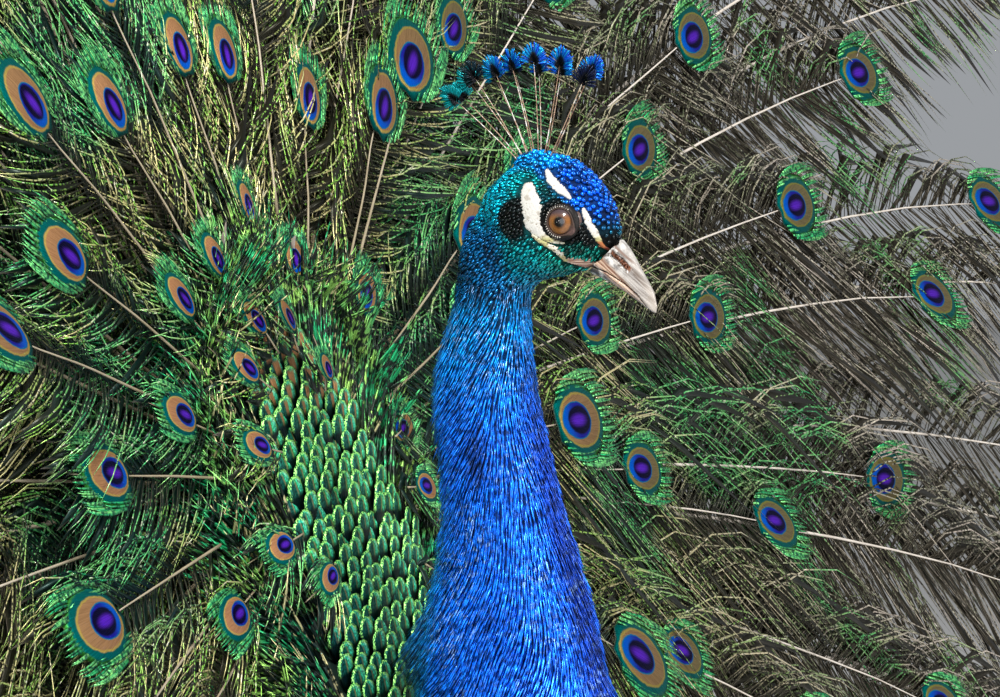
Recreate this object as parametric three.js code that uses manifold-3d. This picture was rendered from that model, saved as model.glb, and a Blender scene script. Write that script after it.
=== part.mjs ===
// A still, life-size Indian peacock, Pavo cristatus, standing with its train raised in display.
// Millimetres, +Z up. The bird faces -Y and its right side is -X; it is the same on both sides.
// Places are worked out in the bird's own frame, with y = 0 at the eyes and z = 0 at the floor.
import * as THREE from "three";
import Module from "manifold-3d";

const wasm = await Module();
wasm.setup();

// ---- Driving dimensions ----
const DEG = Math.PI / 180;
const GAP = 0.3; // clearance between two nodes that touch
const FRAME_SHIFT_Y = -231; // puts the middle of the whole bird, train included, at y = 0
const EYE_HEIGHT = 760;
const EYE_RADIUS = 9.4;
const EYE_CENTRE_X = 13.6;
const BILL_PITCH = 42 * DEG; // how far the bill points below the horizon
const BODY_SIDES = 18;
const NECK_SIDES = 16;
const FAN_HUB = new THREE.Vector3(0, 150, 636); // where the lines of the train's shafts meet
const FAN_LEAN = 18.5 * DEG; // how far the raised train leans back
const FAN_DISH = 50; // how far the rim of the fan comes forward
const FAN_RADIUS = 1200;
const PATCH_HALF_WIDTH = 91; // the scaled back patch in front of the train
const TAIL_ROOT = new THREE.Vector3(0, 346, 456);
const TAIL_LEAN = 5 * DEG;
const TAIL_RADIUS = 400;
const TAIL_SPREAD = 78 * DEG;
const HOCK = new THREE.Vector3(58, 197, 168);
const FOOT = new THREE.Vector3(63, 172, 9);

// ---- Solid tools ----
const vec = (x, y, z) => new THREE.Vector3(x, y, z);
const mix = THREE.MathUtils.lerp;
const range = (count) => Array.from({ length: count }, (_, i) => i);

// A closed solid from points and triangles, turned the right way out.
function solidOf(points, triangles) {
  const build = (faces) =>
    new wasm.Manifold(
      new wasm.Mesh({
        numProp: 3,
        vertProperties: Float32Array.from(points.flatMap((p) => [p.x, p.y, p.z])),
        triVerts: Uint32Array.from(faces.flat()),
      }),
    );
  const made = build(triangles);
  return made.volume() > 0 ? made : build(triangles.map(([a, b, c]) => [a, c, b]));
}

// A closed solid through rings of points. A ring of one point is a tip, and a whole ring at
// either end is capped flat. The diagonals alternate, so the two faces of a blade split alike.
function loft(rings) {
  const points = rings.flat();
  const triangles = [];
  let start = 0;
  for (let i = 0; i + 1 < rings.length; i += 1) {
    const here = rings[i].length;
    const next = rings[i + 1].length;
    const sides = Math.max(here, next);
    for (let j = 0; j < sides; j += 1) {
      const k = (j + 1) % sides;
      const a = start + (j % here);
      const b = start + (k % here);
      const c = start + here + (k % next);
      const d = start + here + (j % next);
      if (here === 1) {
        triangles.push([a, c, d]);
      } else if (next === 1) {
        triangles.push([a, b, c]);
      } else if (j % 2 === 0) {
        triangles.push([a, b, c], [a, c, d]);
      } else {
        triangles.push([a, b, d], [b, c, d]);
      }
    }
    start += here;
  }
  const last = rings.at(-1).length;
  for (let j = 1; j + 1 < rings[0].length; j += 1) {
    triangles.push([0, j + 1, j]);
  }
  for (let j = 1; j + 1 < last; j += 1) {
    triangles.push([start, start + j, start + j + 1]);
  }
  return solidOf(points, triangles);
}

// Rows [station, ...values] read as smooth curves and sampled at steps that are even, or with
// rounded ends ones that lie closer together near both ends.
function smoothRows(rows, steps, roundedEnds = false) {
  const stations = rows.map((row) => row[0]);
  const values = rows.flatMap((row) => row.slice(1));
  const curve = new THREE.CubicInterpolant(stations, values, rows[0].length - 1);
  return range(steps + 1).map((i) => {
    const eased = (1 - Math.cos((Math.PI * i) / steps)) / 2;
    const share = roundedEnds ? eased : i / steps;
    const station = mix(stations[0], stations.at(-1), share);
    return [station, ...curve.evaluate(station)];
  });
}

// An oval ring about a centre: half widths across, and heights above and below the centre.
function oval(centre, across, up, half, above, below, sides) {
  return range(sides).map((j) => {
    const turn = ((j + 0.5) / sides) * 2 * Math.PI;
    const rise = Math.sin(turn) * (Math.sin(turn) > 0 ? above : below);
    return centre
      .clone()
      .addScaledVector(across, half * Math.cos(turn))
      .addScaledVector(up, rise);
  });
}

// A tube of varying radius along a line of points, rows of [x, y, z, half width, half depth].
function limb(rows, across, sides) {
  const centres = rows.map((row) => vec(row[0], row[1], row[2]));
  return loft(
    rows.map((row, i) => {
      const ahead = centres[Math.min(i + 1, rows.length - 1)];
      const behind = centres[Math.max(i - 1, 0)];
      const along = ahead.clone().sub(behind).normalize();
      const up = along.clone().cross(across).normalize();
      return oval(centres[i], across, up, row[3], row[4], row[4], sides);
    }),
  );
}

// A feather as a flat blade with its shaft raised along both faces. Each station has a point
// on the shaft, the ways across and out of the blade, and its half width and half thickness.
function blade(stations) {
  return loft(
    stations.map(({ at, across, out, half, thick }) => {
      if (half === 0) {
        return [at];
      }
      return [
        at.clone().addScaledVector(across, half),
        at.clone().addScaledVector(out, thick),
        at.clone().addScaledVector(across, -half),
        at.clone().addScaledVector(out, -thick),
      ];
    }),
  );
}

// The shape of a three.js geometry as a solid, with its shared vertices merged.
function solidFromGeometry(geometry) {
  const position = geometry.getAttribute("position");
  const order = geometry.index ? geometry.index.array : range(position.count);
  const found = new Map();
  const points = [];
  const merged = Array.from(order, (i) => {
    const p = new THREE.Vector3().fromBufferAttribute(position, i);
    const key = p.toArray().map((n) => Math.round(n * 1000)).join();
    if (!found.has(key)) {
      found.set(key, points.length);
      points.push(p);
    }
    return found.get(key);
  });
  const triangles = range(merged.length / 3)
    .map((i) => merged.slice(3 * i, 3 * i + 3))
    .filter(([a, b, c]) => a !== b && b !== c && a !== c);
  return solidOf(points, triangles);
}

function ball(centre, rx, ry, rz, around, down) {
  const geometry = new THREE.SphereGeometry(1, around, down);
  geometry.scale(rx, ry, rz).translate(centre.x, centre.y, centre.z);
  return solidFromGeometry(geometry);
}

// A slab across the whole bird, its outline drawn in (y, z) and extruded from -half to half in x.
function acrossSlab(outline, half) {
  const shape = new THREE.Shape(outline.map(([y, z]) => new THREE.Vector2(y, z)));
  const geometry = new THREE.ExtrudeGeometry(shape, { depth: 2 * half, bevelEnabled: false });
  geometry.translate(0, 0, -half);
  geometry.applyMatrix4(
    new THREE.Matrix4().makeBasis(vec(0, 1, 0), vec(0, 0, 1), vec(1, 0, 0)),
  );
  return solidFromGeometry(geometry);
}

const union = (solids) => solids.reduce((sum, one) => sum.add(one));
const largest = (solid) =>
  solid.decompose().reduce((best, one) => (one.volume() > best.volume() ? one : best));

// The part of a solid on one side of a plane through a point, half the gap short of it.
function keepSide(solid, normal, point) {
  const n = normal.clone().normalize();
  return solid.trimByPlane(n.toArray(), n.dot(point) + GAP / 2);
}

const root = new THREE.Group();
root.position.y = FRAME_SHIFT_Y;

function addNode(name, solid, material) {
  const { numProp, vertProperties, triVerts } = largest(solid).getMesh();
  const geometry = new THREE.BufferGeometry();
  const places = range(vertProperties.length / numProp).flatMap((i) =>
    Array.from(vertProperties.slice(i * numProp, i * numProp + 3)),
  );
  geometry.setAttribute("position", new THREE.Float32BufferAttribute(places, 3));
  geometry.setIndex(Array.from(triVerts));
  const mesh = new THREE.Mesh(geometry, material);
  mesh.name = name;
  root.add(mesh);
}

function paint(color, roughness, metalness) {
  return new THREE.MeshStandardMaterial({ color, roughness, metalness });
}
const BLUE_PLUMAGE = paint(0x0a3fae, 0.42, 0.35);
const GREEN_PLUMAGE = paint(0x1f6b3a, 0.45, 0.35);
const BARRED_PLUMAGE = paint(0x9c8a68, 0.75, 0);
const RUFOUS_PLUMAGE = paint(0x8a4b22, 0.7, 0);
const BROWN_PLUMAGE = paint(0x5b4a3a, 0.75, 0);
const BILL_HORN = paint(0xb8a998, 0.42, 0);
const EYE_GLOSS = paint(0x4a2a14, 0.08, 0);
const LEG_SKIN = paint(0x6f655a, 0.6, 0);
const CLAW_HORN = paint(0x3a3029, 0.4, 0);

const X = vec(1, 0, 0);
const Y = vec(0, 1, 0);
const Z = vec(0, 0, 1);

// ---- Flesh of torso, neck and head ----
// Torso: rows of [y, middle z, half width, height above, depth below], breast to rump.
const TORSO_ROWS = [
  [-64, 440, 15, 13, 15],
  [-58, 441, 32, 26, 36],
  [-40, 442, 53, 41, 64],
  [-10, 441, 71, 55, 92],
  [40, 437, 85, 72, 116],
  [110, 426, 92, 82, 120],
  [180, 422, 87, 80, 106],
  [250, 430, 69, 66, 82],
  [305, 444, 45, 44, 52],
  [335, 452, 27, 27, 29],
];
const TORSO_STEPS = 14;

function torsoSolid(grow) {
  const rows = smoothRows(TORSO_ROWS, TORSO_STEPS, true);
  const rings = rows.map(([y, z, half, above, below], i) => {
    const end = i === 0 ? -grow : i === TORSO_STEPS ? grow : 0;
    return oval(vec(0, y + end, z), X, Z, half + grow, above + grow, below + grow, BODY_SIDES);
  });
  return loft(rings);
}

// Neck: rows of [z, middle y, half depth, half width], from inside the torso to inside the head.
const NECK_ROWS = [
  [440, 26, 84, 76],
  [470, 24, 78, 70],
  [502, 27, 63, 58],
  [532, 32, 49.5, 48],
  [555, 35, 46, 43],
  [579, 35.5, 40.5, 38],
  [602, 36.5, 34.3, 32.5],
  [626, 40, 29.8, 28.5],
  [650, 43.4, 27.4, 26],
  [675, 47.5, 25.8, 24.5],
  [698, 48.5, 23.6, 22.5],
  [722, 46, 20.3, 19.6],
  [750, 42.5, 20, 18.5],
];
const NECK_STEPS = 12;

function neckSolid(grow) {
  return loft(
    smoothRows(NECK_ROWS, NECK_STEPS).map(([z, y, depth, half]) =>
      oval(vec(0, y, z), X, Y, half + grow, depth + grow, depth + grow, NECK_SIDES),
    ),
  );
}

// Head: rows of [y, top z, bottom z, half width], from the back of the crown to the forehead.
const HEAD_ROWS = [
  [60.5, 761, 746, 7],
  [54, 770, 738, 14.5],
  [42, 781, 731, 20.5],
  [28, 790.5, 728.5, 24],
  [12, 793, 731, 24.6],
  [0, 789, 733.5, 21.6],
  [-10, 780.5, 736, 16.5],
  [-18, 769.5, 741, 11.5],
  [-22.5, 759, 748, 5.5],
];
const HEAD_STEPS = 12;
const HEAD_SIDES = 18;

function headSolid(grow) {
  const rows = smoothRows(HEAD_ROWS.toReversed(), HEAD_STEPS);
  return loft(
    rows.map(([y, top, bottom, half], i) => {
      const end = i === 0 ? -grow : i === HEAD_STEPS ? grow : 0;
      const middle = mix(bottom, top, 0.52);
      return oval(
        vec(0, y + end, middle), X, Z,
        half + grow, top - middle + grow, middle - bottom + grow, HEAD_SIDES,
      );
    }),
  );
}

const NECK_TOP_CUT = { point: vec(0, 46, 733), normal: vec(0, -0.36, 1) };
const NECK_BASE_CUT = { point: vec(0, 24, 526), normal: vec(0, -0.34, 1) };
const flesh = union([torsoSolid(0), neckSolid(0), headSolid(0)]);
const fleshGrown = union([torsoSolid(GAP), neckSolid(GAP), headSolid(GAP)]);

// ---- Head: lids, line of the mouth and sockets ----
const eyeCentre = (side) => vec(side * EYE_CENTRE_X, 0, EYE_HEIGHT);
const LID_HALF_LENGTH = 9.6;
const LID_HALF_HEIGHT = 8.2;
const LID_THICKNESS = 1.5;
const LID_X = 19.2;
const LID_STEPS = 12;
const LID_SIDES = 5;

// A closed ring: sections of points around a loop, the last joined to the first.
function loopOf(sections) {
  const count = sections.length;
  const sides = sections[0].length;
  const triangles = [];
  for (let i = 0; i < count; i += 1) {
    for (let j = 0; j < sides; j += 1) {
      const a = i * sides + j;
      const b = i * sides + ((j + 1) % sides);
      const c = ((i + 1) % count) * sides + ((j + 1) % sides);
      const d = ((i + 1) % count) * sides + j;
      triangles.push([a, b, c], [a, c, d]);
    }
  }
  return solidOf(sections.flat(), triangles);
}

function lidRing(side) {
  return loopOf(
    range(LID_STEPS).map((i) => {
      const turn = (i / LID_STEPS) * 2 * Math.PI;
      const radial = vec(0, -Math.cos(turn), Math.sin(turn));
      const rim = vec(
        side * (LID_X - 1.1 * Math.cos(turn) ** 2),
        -LID_HALF_LENGTH * Math.cos(turn),
        EYE_HEIGHT + LID_HALF_HEIGHT * Math.sin(turn),
      );
      return range(LID_SIDES).map((j) => {
        const around = (j / LID_SIDES) * 2 * Math.PI;
        return rim
          .clone()
          .addScaledVector(radial, LID_THICKNESS * Math.cos(around))
          .addScaledVector(X, side * 1.5 * LID_THICKNESS * Math.sin(around));
      });
    }),
  );
}

// The line of the mouth, (y, z) from the corner of the gape to the tip of the bill.
const MOUTH_LINE = [
  [9, 741.5],
  [-9.5, 738.6],
  [-18, 735.6],
  [-27.2, 730],
  [-33, 725],
  [-37, 719.4],
  [-43, 708],
];
const MOUTH_GAP = 0.5;

function mouthSlab(half) {
  const above = MOUTH_LINE.map(([y, z]) => [y, z + MOUTH_GAP / 2]);
  const below = MOUTH_LINE.map(([y, z]) => [y, z - MOUTH_GAP / 2]).toReversed();
  return acrossSlab([...above, ...below], half);
}

const MOUTH_REACH = 30; // far enough out sideways to clear the cheeks
const MOUTH_DEPTH = 1.6; // how deep the line is cut into the cheeks

const eyeball = (side, radius) => ball(eyeCentre(side), radius, radius, radius, 14, 8);
const socket = (side) => eyeball(side, EYE_RADIUS + GAP);
const headCore = keepSide(flesh, NECK_TOP_CUT.normal, NECK_TOP_CUT.point);
const head = headCore
  .add(lidRing(1))
  .add(lidRing(-1))
  .subtract(socket(1))
  .subtract(socket(-1))
  .subtract(mouthSlab(MOUTH_REACH).subtract(headSolid(-MOUTH_DEPTH)));
addNode("head", head, BLUE_PLUMAGE);

for (const [name, side] of [["eye_left", 1], ["eye_right", -1]]) {
  addNode(name, eyeball(side, EYE_RADIUS), EYE_GLOSS);
}

// ---- Bill ----
// Rows of [distance along the bill, height of the culmen, depth of the lower edge, half width].
const BILL_BASE = vec(0, -8, 746);
const BILL_ROWS = [
  [-10, 12.5, 10.5, 8.6],
  [2, 14, 10, 8.6],
  [9, 14.5, 8.4, 8.1],
  [16, 13.4, 5.6, 7.1],
  [24, 10.9, 3.8, 5.8],
  [32, 8.7, 2.4, 4.4],
  [39, 6.1, 1.3, 3],
  [43, 3, 0.8, 1.6],
];
const BILL_TIP = 45;
const BILL_STEPS = 9;
const BILL_SIDES = 12;
const billAlong = vec(0, -Math.cos(BILL_PITCH), -Math.sin(BILL_PITCH));
const billUp = vec(0, -Math.sin(BILL_PITCH), Math.cos(BILL_PITCH));
const NOSTRIL = { along: 15, up: 6.5, length: 5.2, height: 1.3 };

function billSolid() {
  const rings = smoothRows(BILL_ROWS, BILL_STEPS).map(([along, top, bottom, half]) =>
    oval(BILL_BASE.clone().addScaledVector(billAlong, along), X, billUp,
      half, top, bottom, BILL_SIDES),
  );
  rings.push([BILL_BASE.clone().addScaledVector(billAlong, BILL_TIP)]);
  return loft(rings);
}

function nostril(side) {
  const slit = new THREE.SphereGeometry(1, 8, 5);
  slit.scale(NOSTRIL.length, 2.4, NOSTRIL.height);
  slit.applyMatrix4(new THREE.Matrix4().makeBasis(billAlong, X, billUp));
  const place = BILL_BASE.clone()
    .addScaledVector(billAlong, NOSTRIL.along)
    .addScaledVector(billUp, NOSTRIL.up)
    .addScaledVector(X, side * 6.6);
  slit.translate(place.x, place.y, place.z);
  return solidFromGeometry(slit);
}

const belowMouth = acrossSlab(
  [...MOUTH_LINE.map(([y, z]) => [y, z + MOUTH_GAP / 2]), [20, 690], [20, 741.5]],
  20,
);
const aboveMouth = acrossSlab(
  [...MOUTH_LINE.map(([y, z]) => [y, z - MOUTH_GAP / 2]), [-70, 708], [-70, 790], [9, 790]],
  20,
);
const bill = billSolid().subtract(fleshGrown);
addNode(
  "beak_upper",
  bill.subtract(belowMouth).subtract(nostril(1)).subtract(nostril(-1)),
  BILL_HORN,
);
addNode("beak_lower", bill.subtract(aboveMouth), BILL_HORN);

// ---- Crest ----
// A low pad of feather bases on the crown carries bare shafts that fan out in the bird's middle
// plane. Each ends in a small spade of a flag, and they stand in four close rows side by side.
const CREST_ROOT = vec(0, 22, 790);
const CREST_COUNT = 16;
const CREST_FORWARD = -33 * DEG;
const CREST_BACKWARD = 56 * DEG;
const CREST_SHAFT = 45;
const CREST_LENGTH = 60;
const CREST_ROWS = [-2.7, 0.9, -0.9, 2.7];

function crestPad() {
  return ball(vec(0, CREST_ROOT.y, CREST_ROOT.z - 1), 7, 15, 8, 10, 6);
}

function crestFeather(i) {
  const share = i / (CREST_COUNT - 1);
  const angle = mix(CREST_FORWARD, CREST_BACKWARD, share);
  const row = CREST_ROWS[i % CREST_ROWS.length];
  const length = CREST_LENGTH * (0.94 + 0.06 * Math.sin(5 * i)) * mix(1, 0.93, share);
  const up = vec(0, Math.sin(angle), Math.cos(angle));
  const across = vec(0, Math.cos(angle), -Math.sin(angle));
  const rootY = mix(-9, 9, share);
  const station = (radius, half, thick) => {
    const bend = 5 * (radius / length) ** 2;
    const at = CREST_ROOT.clone()
      .add(vec(row * (0.7 + 1.6 * (radius / length)), rootY * (1 - radius / length), 0))
      .addScaledVector(up, radius)
      .addScaledVector(Y, bend);
    return { at, across, out: X, half, thick };
  };
  return blade([
    station(2, 0.7, 0.6),
    station(CREST_SHAFT * (length / CREST_LENGTH), 0.6, 0.5),
    station(length - 6, 5, 0.6),
    station(length, 3, 0.4),
  ]);
}
const crest = union([crestPad(), ...range(CREST_COUNT).map(crestFeather)]);
addNode("crest", crest.subtract(fleshGrown), BLUE_PLUMAGE);

// ---- Neck and torso ----
const neckUpper = keepSide(flesh, NECK_TOP_CUT.normal.clone().negate(), NECK_TOP_CUT.point);
addNode("neck", keepSide(neckUpper, NECK_BASE_CUT.normal, NECK_BASE_CUT.point), BLUE_PLUMAGE);
const torso = keepSide(flesh, NECK_BASE_CUT.normal.clone().negate(), NECK_BASE_CUT.point);
addNode("torso", torso, BLUE_PLUMAGE);

// ---- Train ----
const fanUp = vec(0, Math.sin(FAN_LEAN), Math.cos(FAN_LEAN));
const fanOut = vec(0, -Math.cos(FAN_LEAN), Math.sin(FAN_LEAN)); // out of the front of the fan
const FAN_DROOP = 6 * DEG; // how far the longest feathers hang outward at their ends

// A point of the fan: radius from the hub, angle from straight up, depth behind the front, and
// how far the hub of that feather has slid down the mound.
function fanPoint(radius, angle, depth, slide) {
  const share = radius / FAN_RADIUS;
  const turned = angle + FAN_DROOP * Math.sin(angle) * share * share;
  return FAN_HUB.clone()
    .addScaledVector(X, radius * Math.sin(turned))
    .addScaledVector(fanUp, radius * Math.cos(turned) - slide)
    .addScaledVector(fanOut, FAN_DISH * share * share - depth);
}

// The mound that the train grows from: rows of [height along the lean, half width, front, back].
const MOUND_ROWS = [
  [-215, 62, 14, 60],
  [-170, 78, 20, 92],
  [-110, 89, 21, 96],
  [-40, PATCH_HALF_WIDTH, 20, 78],
  [20, 86, 18, 56],
  [62, 66, 15, 38],
  [88, 36, 10, 22],
  [96, 14, 6, 12],
];
const MOUND_STEPS = 9;
const MOUND_SIDES = 16;

function moundSolid(grow) {
  return loft(
    smoothRows(MOUND_ROWS, MOUND_STEPS).map(([rise, half, front, back], i) => {
      const end = i === 0 ? -grow : i === MOUND_STEPS ? grow : 0;
      const centre = FAN_HUB.clone().addScaledVector(fanUp, rise + end);
      return oval(centre, X, fanOut, half + grow, front + grow, back + grow, MOUND_SIDES);
    }),
  );
}

// Tiers of long feathers, shortest and foremost first: radius of the eye, half width there, how
// far the outermost hubs slide down the mound, and how many feathers.
const TRAIN_TIERS = [
  [125, 17, 90, 9],
  [210, 20, 60, 10],
  [300, 23, 30, 11],
  [405, 25, 10, 12],
  [550, 27, 0, 13],
  [715, 28, 0, 14],
  [880, 28, 0, 15],
  [1045, 28, 0, 16],
];
const FAN_HALF_SPREAD = 110 * DEG;
const TIER_DEPTH = 5;
const FIRST_DEPTH = 6;
const SLIDE_FROM = 60 * DEG;
const EYE_TIP = 40; // from the middle of the eye to the tip of the feather
const VANE_HALF = 45; // the loose vane below the eye
const SHAFT_ROOT = [36, 1.8, 1.5]; // radius, half width and half thickness where a shaft begins
const FISHTAIL_RADIUS = 1180;
const FISHTAIL_COUNT = 17;
const PART_ANGLE = 45 * DEG; // where the train is parted into its middle and its two sides
const PART_CLEAR = 4.5 * DEG; // no shaft is rooted nearer than this to a parting

function fanStation(radius, angle, depth, slide, half, thick) {
  const at = fanPoint(radius, angle, depth, slide);
  const along = fanPoint(radius + 1, angle, depth, slide).sub(at).normalize();
  const across = along.clone().cross(fanOut).normalize();
  return { at, across, out: across.clone().cross(along), half, thick };
}

// The angles of a tier's feathers, evenly spread, with none rooted on a parting of the train.
function tierAngles(count) {
  return range(count).map((i) => {
    const angle = FAN_HALF_SPREAD * ((2 * i + 1) / count - 1);
    const past = Math.abs(angle) - PART_ANGLE;
    if (Math.abs(past) >= PART_CLEAR) {
      return angle;
    }
    return Math.sign(angle) * (PART_ANGLE + (past < 0 ? -PART_CLEAR : PART_CLEAR));
  });
}

// A train feather: a bare shaft, a loose vane that narrows to a waist, the broad eye and its tip.
// The shortest have no loose vane, and those next to them no waist.
const SHORT_BELOW = 250;
const LONG_FROM = 600;
function trainFeather(radius, half, slideMost, angle, tier) {
  const depth = FIRST_DEPTH + TIER_DEPTH * tier;
  const slide = slideMost * Math.max(0, (Math.abs(angle) - SLIDE_FROM) / SLIDE_FROM);
  const station = (r, w, t) => fanStation(r, angle, depth, slide, w, t);
  const stations = [station(...SHAFT_ROOT)];
  if (radius > SHORT_BELOW && radius < LONG_FROM) {
    stations.push(station(105, 4, 1.4));
  }
  if (radius > SHORT_BELOW) {
    stations.push(station(0.72 * radius - 20, Math.min(VANE_HALF, 0.1 * radius), 1));
  }
  if (radius < SHORT_BELOW || radius > LONG_FROM) {
    stations.push(station(radius - 42, 0.72 * half, 0.8));
  }
  stations.push(station(radius + 4, half, 0.7));
  stations.push(station(radius + EYE_TIP, 0, 0));
  return blade(stations);
}

// The longest feathers have no eye and end in a broad notchless crescent.
function fishtail(angle, tier) {
  const depth = FIRST_DEPTH + TIER_DEPTH * tier;
  const station = (r, w, t) => fanStation(r, angle, depth, 0, w, t);
  return blade([
    station(...SHAFT_ROOT),
    station(700, VANE_HALF, 1),
    station(FISHTAIL_RADIUS - 110, 22, 0.8),
    station(FISHTAIL_RADIUS, 34, 0.5),
    station(FISHTAIL_RADIUS + 12, 20, 0.3),
  ]);
}

// Scale feathers on the front of the mound, in rows that follow its width, tips upward.
const SCALE_ROW = 30;
const SCALE_COLUMN = 33;
const SCALE_LENGTH = 44;
const SCALE_HALF = 16;
const SCALE_LOWEST = -148;
const SCALE_ROWS = 8;

function moundFront(rise, x) {
  const rows = smoothRows(MOUND_ROWS, 2 * MOUND_STEPS);
  const share = (rise - rows[0][0]) / (rows.at(-1)[0] - rows[0][0]);
  const place = Math.min(Math.max(share, 0), 0.9999) * 2 * MOUND_STEPS;
  const low = rows[Math.floor(place)];
  const high = rows[Math.floor(place) + 1];
  const [, half, front] = low.map((value, i) => mix(value, high[i], place % 1));
  const round = Math.sqrt(Math.max(0, 1 - (x / half) ** 2));
  return { half, front: front * round };
}

function scaleFeather(rise, x) {
  const { half, front } = moundFront(rise, x);
  const fanned = Math.atan2(x, rise - SCALE_LOWEST + 90);
  const along = fanUp.clone().multiplyScalar(Math.cos(fanned)).addScaledVector(X, Math.sin(fanned));
  const bulge = moundFront(rise, x * 1.05).front - moundFront(rise, x * 0.95).front;
  const slope = bulge / (0.1 * Math.abs(x) + 1);
  const out = fanOut.clone().addScaledVector(X, -slope * Math.sign(x)).normalize();
  const across = along.clone().cross(out).normalize();
  const start = FAN_HUB.clone().addScaledVector(fanUp, rise).addScaledVector(X, x)
    .addScaledVector(fanOut, front);
  const station = (share, lift, width, thick) => ({
    at: start.clone().addScaledVector(along, share * SCALE_LENGTH).addScaledVector(out, lift),
    across, out, half: width, thick,
  });
  const size = half > 40 ? SCALE_HALF : 0.8 * SCALE_HALF;
  return blade([station(0, -5, 5, 1), station(0.6, 1.5, size, 0.7), station(1, 4, 0, 0)]);
}

function scaleRow(row) {
  const rise = SCALE_LOWEST + SCALE_ROW * row;
  const reach = moundFront(rise, 0).half * 0.84;
  const count = Math.max(1, Math.floor((2 * reach) / SCALE_COLUMN) + (row % 2));
  return range(count).map((i) => {
    const share = count === 1 ? 0 : i / (count - 1) - 0.5;
    return scaleFeather(rise, 2 * share * reach);
  });
}

const featherTier = ([radius, eyeHalf, slide, count], tier, holds) =>
  tierAngles(count).filter(holds)
    .map((angle) => trainFeather(radius, eyeHalf, slide, angle, tier));
const SHORT_TIERS = 2; // these crowd round the mound, so they are cut together with it
const shortFeathers = TRAIN_TIERS.slice(0, SHORT_TIERS).flatMap((row, tier) =>
  featherTier(row, tier, () => true),
);
const scales = range(SCALE_ROWS).flatMap(scaleRow);
const coveredMound = union([moundSolid(0), ...scales, ...shortFeathers]);

// The train is parted into a middle and two sides by thin cuts of its mound that run out from
// the hub between two feathers. The outlines are in the fan's own plane, across and up.
const PART_REACH = 400;

function fanSlab(outline) {
  const shape = new THREE.Shape(outline.map(([x, u]) => new THREE.Vector2(x, u)));
  const geometry = new THREE.ExtrudeGeometry(shape, { depth: 2 * PART_REACH, bevelEnabled: false });
  geometry.translate(0, 0, -PART_REACH);
  geometry.applyMatrix4(new THREE.Matrix4().makeBasis(X, fanUp, fanOut.clone().negate()));
  geometry.translate(FAN_HUB.x, FAN_HUB.y, FAN_HUB.z);
  return solidFromGeometry(geometry);
}
const cutX = PART_REACH * Math.sin(PART_ANGLE);
const cutUp = PART_REACH * Math.cos(PART_ANGLE);
const halfGap = GAP / 2;
const sideOutline = [
  [halfGap, -PART_REACH],
  [PART_REACH, -PART_REACH],
  [PART_REACH, cutUp],
  [cutX + halfGap, cutUp - halfGap],
  [halfGap, -GAP],
];
const middleOutline = [
  [0, halfGap],
  [cutX, cutUp + halfGap],
  [-cutX, cutUp + halfGap],
];
const TRAIN_PARTS = [
  { name: "train_middle", outline: middleOutline,
    holds: (angle) => Math.abs(angle) < PART_ANGLE },
  { name: "train_left", outline: sideOutline, holds: (angle) => angle > PART_ANGLE },
  { name: "train_right", outline: sideOutline.map(([x, u]) => [-x, u]).toReversed(),
    holds: (angle) => angle < -PART_ANGLE },
];
for (const { name, outline, holds } of TRAIN_PARTS) {
  const longFeathers = TRAIN_TIERS.flatMap((row, tier) =>
    tier < SHORT_TIERS ? [] : featherTier(row, tier, holds),
  );
  const fishtails = tierAngles(FISHTAIL_COUNT).filter(holds)
    .map((angle) => fishtail(angle, TRAIN_TIERS.length));
  const base = coveredMound.intersect(fanSlab(outline));
  const part = union([base, ...longFeathers, ...fishtails]).subtract(fleshGrown);
  addNode(name, part, GREEN_PLUMAGE);
}

// ---- Tail ----
const tailUp = vec(0, Math.sin(TAIL_LEAN), Math.cos(TAIL_LEAN));
const tailOut = vec(0, -Math.cos(TAIL_LEAN), Math.sin(TAIL_LEAN));

function tailPoint(radius, angle, depth) {
  return TAIL_ROOT.clone()
    .addScaledVector(X, radius * Math.sin(angle))
    .addScaledVector(tailUp, radius * Math.cos(angle))
    .addScaledVector(tailOut, -depth);
}

// Stiff tail feathers stand behind the train in two layers, each over the gap of the other, and
// grow from a short stub behind the rump.
const TAIL_STUB = vec(0, 343, 456);
const TAIL_COUNT = 16;
const TAIL_LAYER = 3;

function tailFeather(i) {
  const angle = mix(-TAIL_SPREAD, TAIL_SPREAD, i / (TAIL_COUNT - 1));
  const length = TAIL_RADIUS * mix(1, 0.9, Math.abs(angle) / TAIL_SPREAD);
  const across = vec(Math.cos(angle), -Math.sin(angle) * tailUp.y, -Math.sin(angle) * tailUp.z);
  const station = (radius, half, thick) => ({
    at: tailPoint(radius, angle, (i % 2) * TAIL_LAYER),
    across, out: tailOut, half, thick,
  });
  return blade([
    station(14, 2.2, 1.6),
    station(0.75 * length, 31, 0.9),
    station(0.95 * length, 31, 0.6),
    station(length, 13, 0.4),
  ]);
}
const tailStub = ball(TAIL_STUB, 29, 15, 34, 10, 7);
const tail = union([tailStub, ...range(TAIL_COUNT).map(tailFeather)]);
addNode("tail", tail.subtract(fleshGrown).subtract(moundSolid(GAP)), BROWN_PLUMAGE);

// ---- Wings ----
// Each wing is a thin core along the side, from the wrist back, with its feathers in tiers.
const WRIST = vec(86, 6, 462);
const WING_END = vec(80, 262, 384);
const wingAlong = WING_END.clone().sub(WRIST).normalize();
const wingUp = X.clone().cross(wingAlong).normalize();
const wingOut = wingAlong.clone().cross(wingUp);
const WING_LENGTH = WRIST.distanceTo(WING_END);
const WING_HALF_HEIGHT = 50;
const WING_SHINGLE = 8 * DEG; // each feather is rolled this far, so it laps over the one below

// Rows of [share of the length, half height, half thickness].
const WING_CORE_ROWS = [
  [0, 14, 4],
  [0.1, 34, 9],
  [0.35, WING_HALF_HEIGHT, 12],
  [0.65, 45, 10],
  [0.9, 26, 7],
  [1, 12, 4],
];

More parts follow.
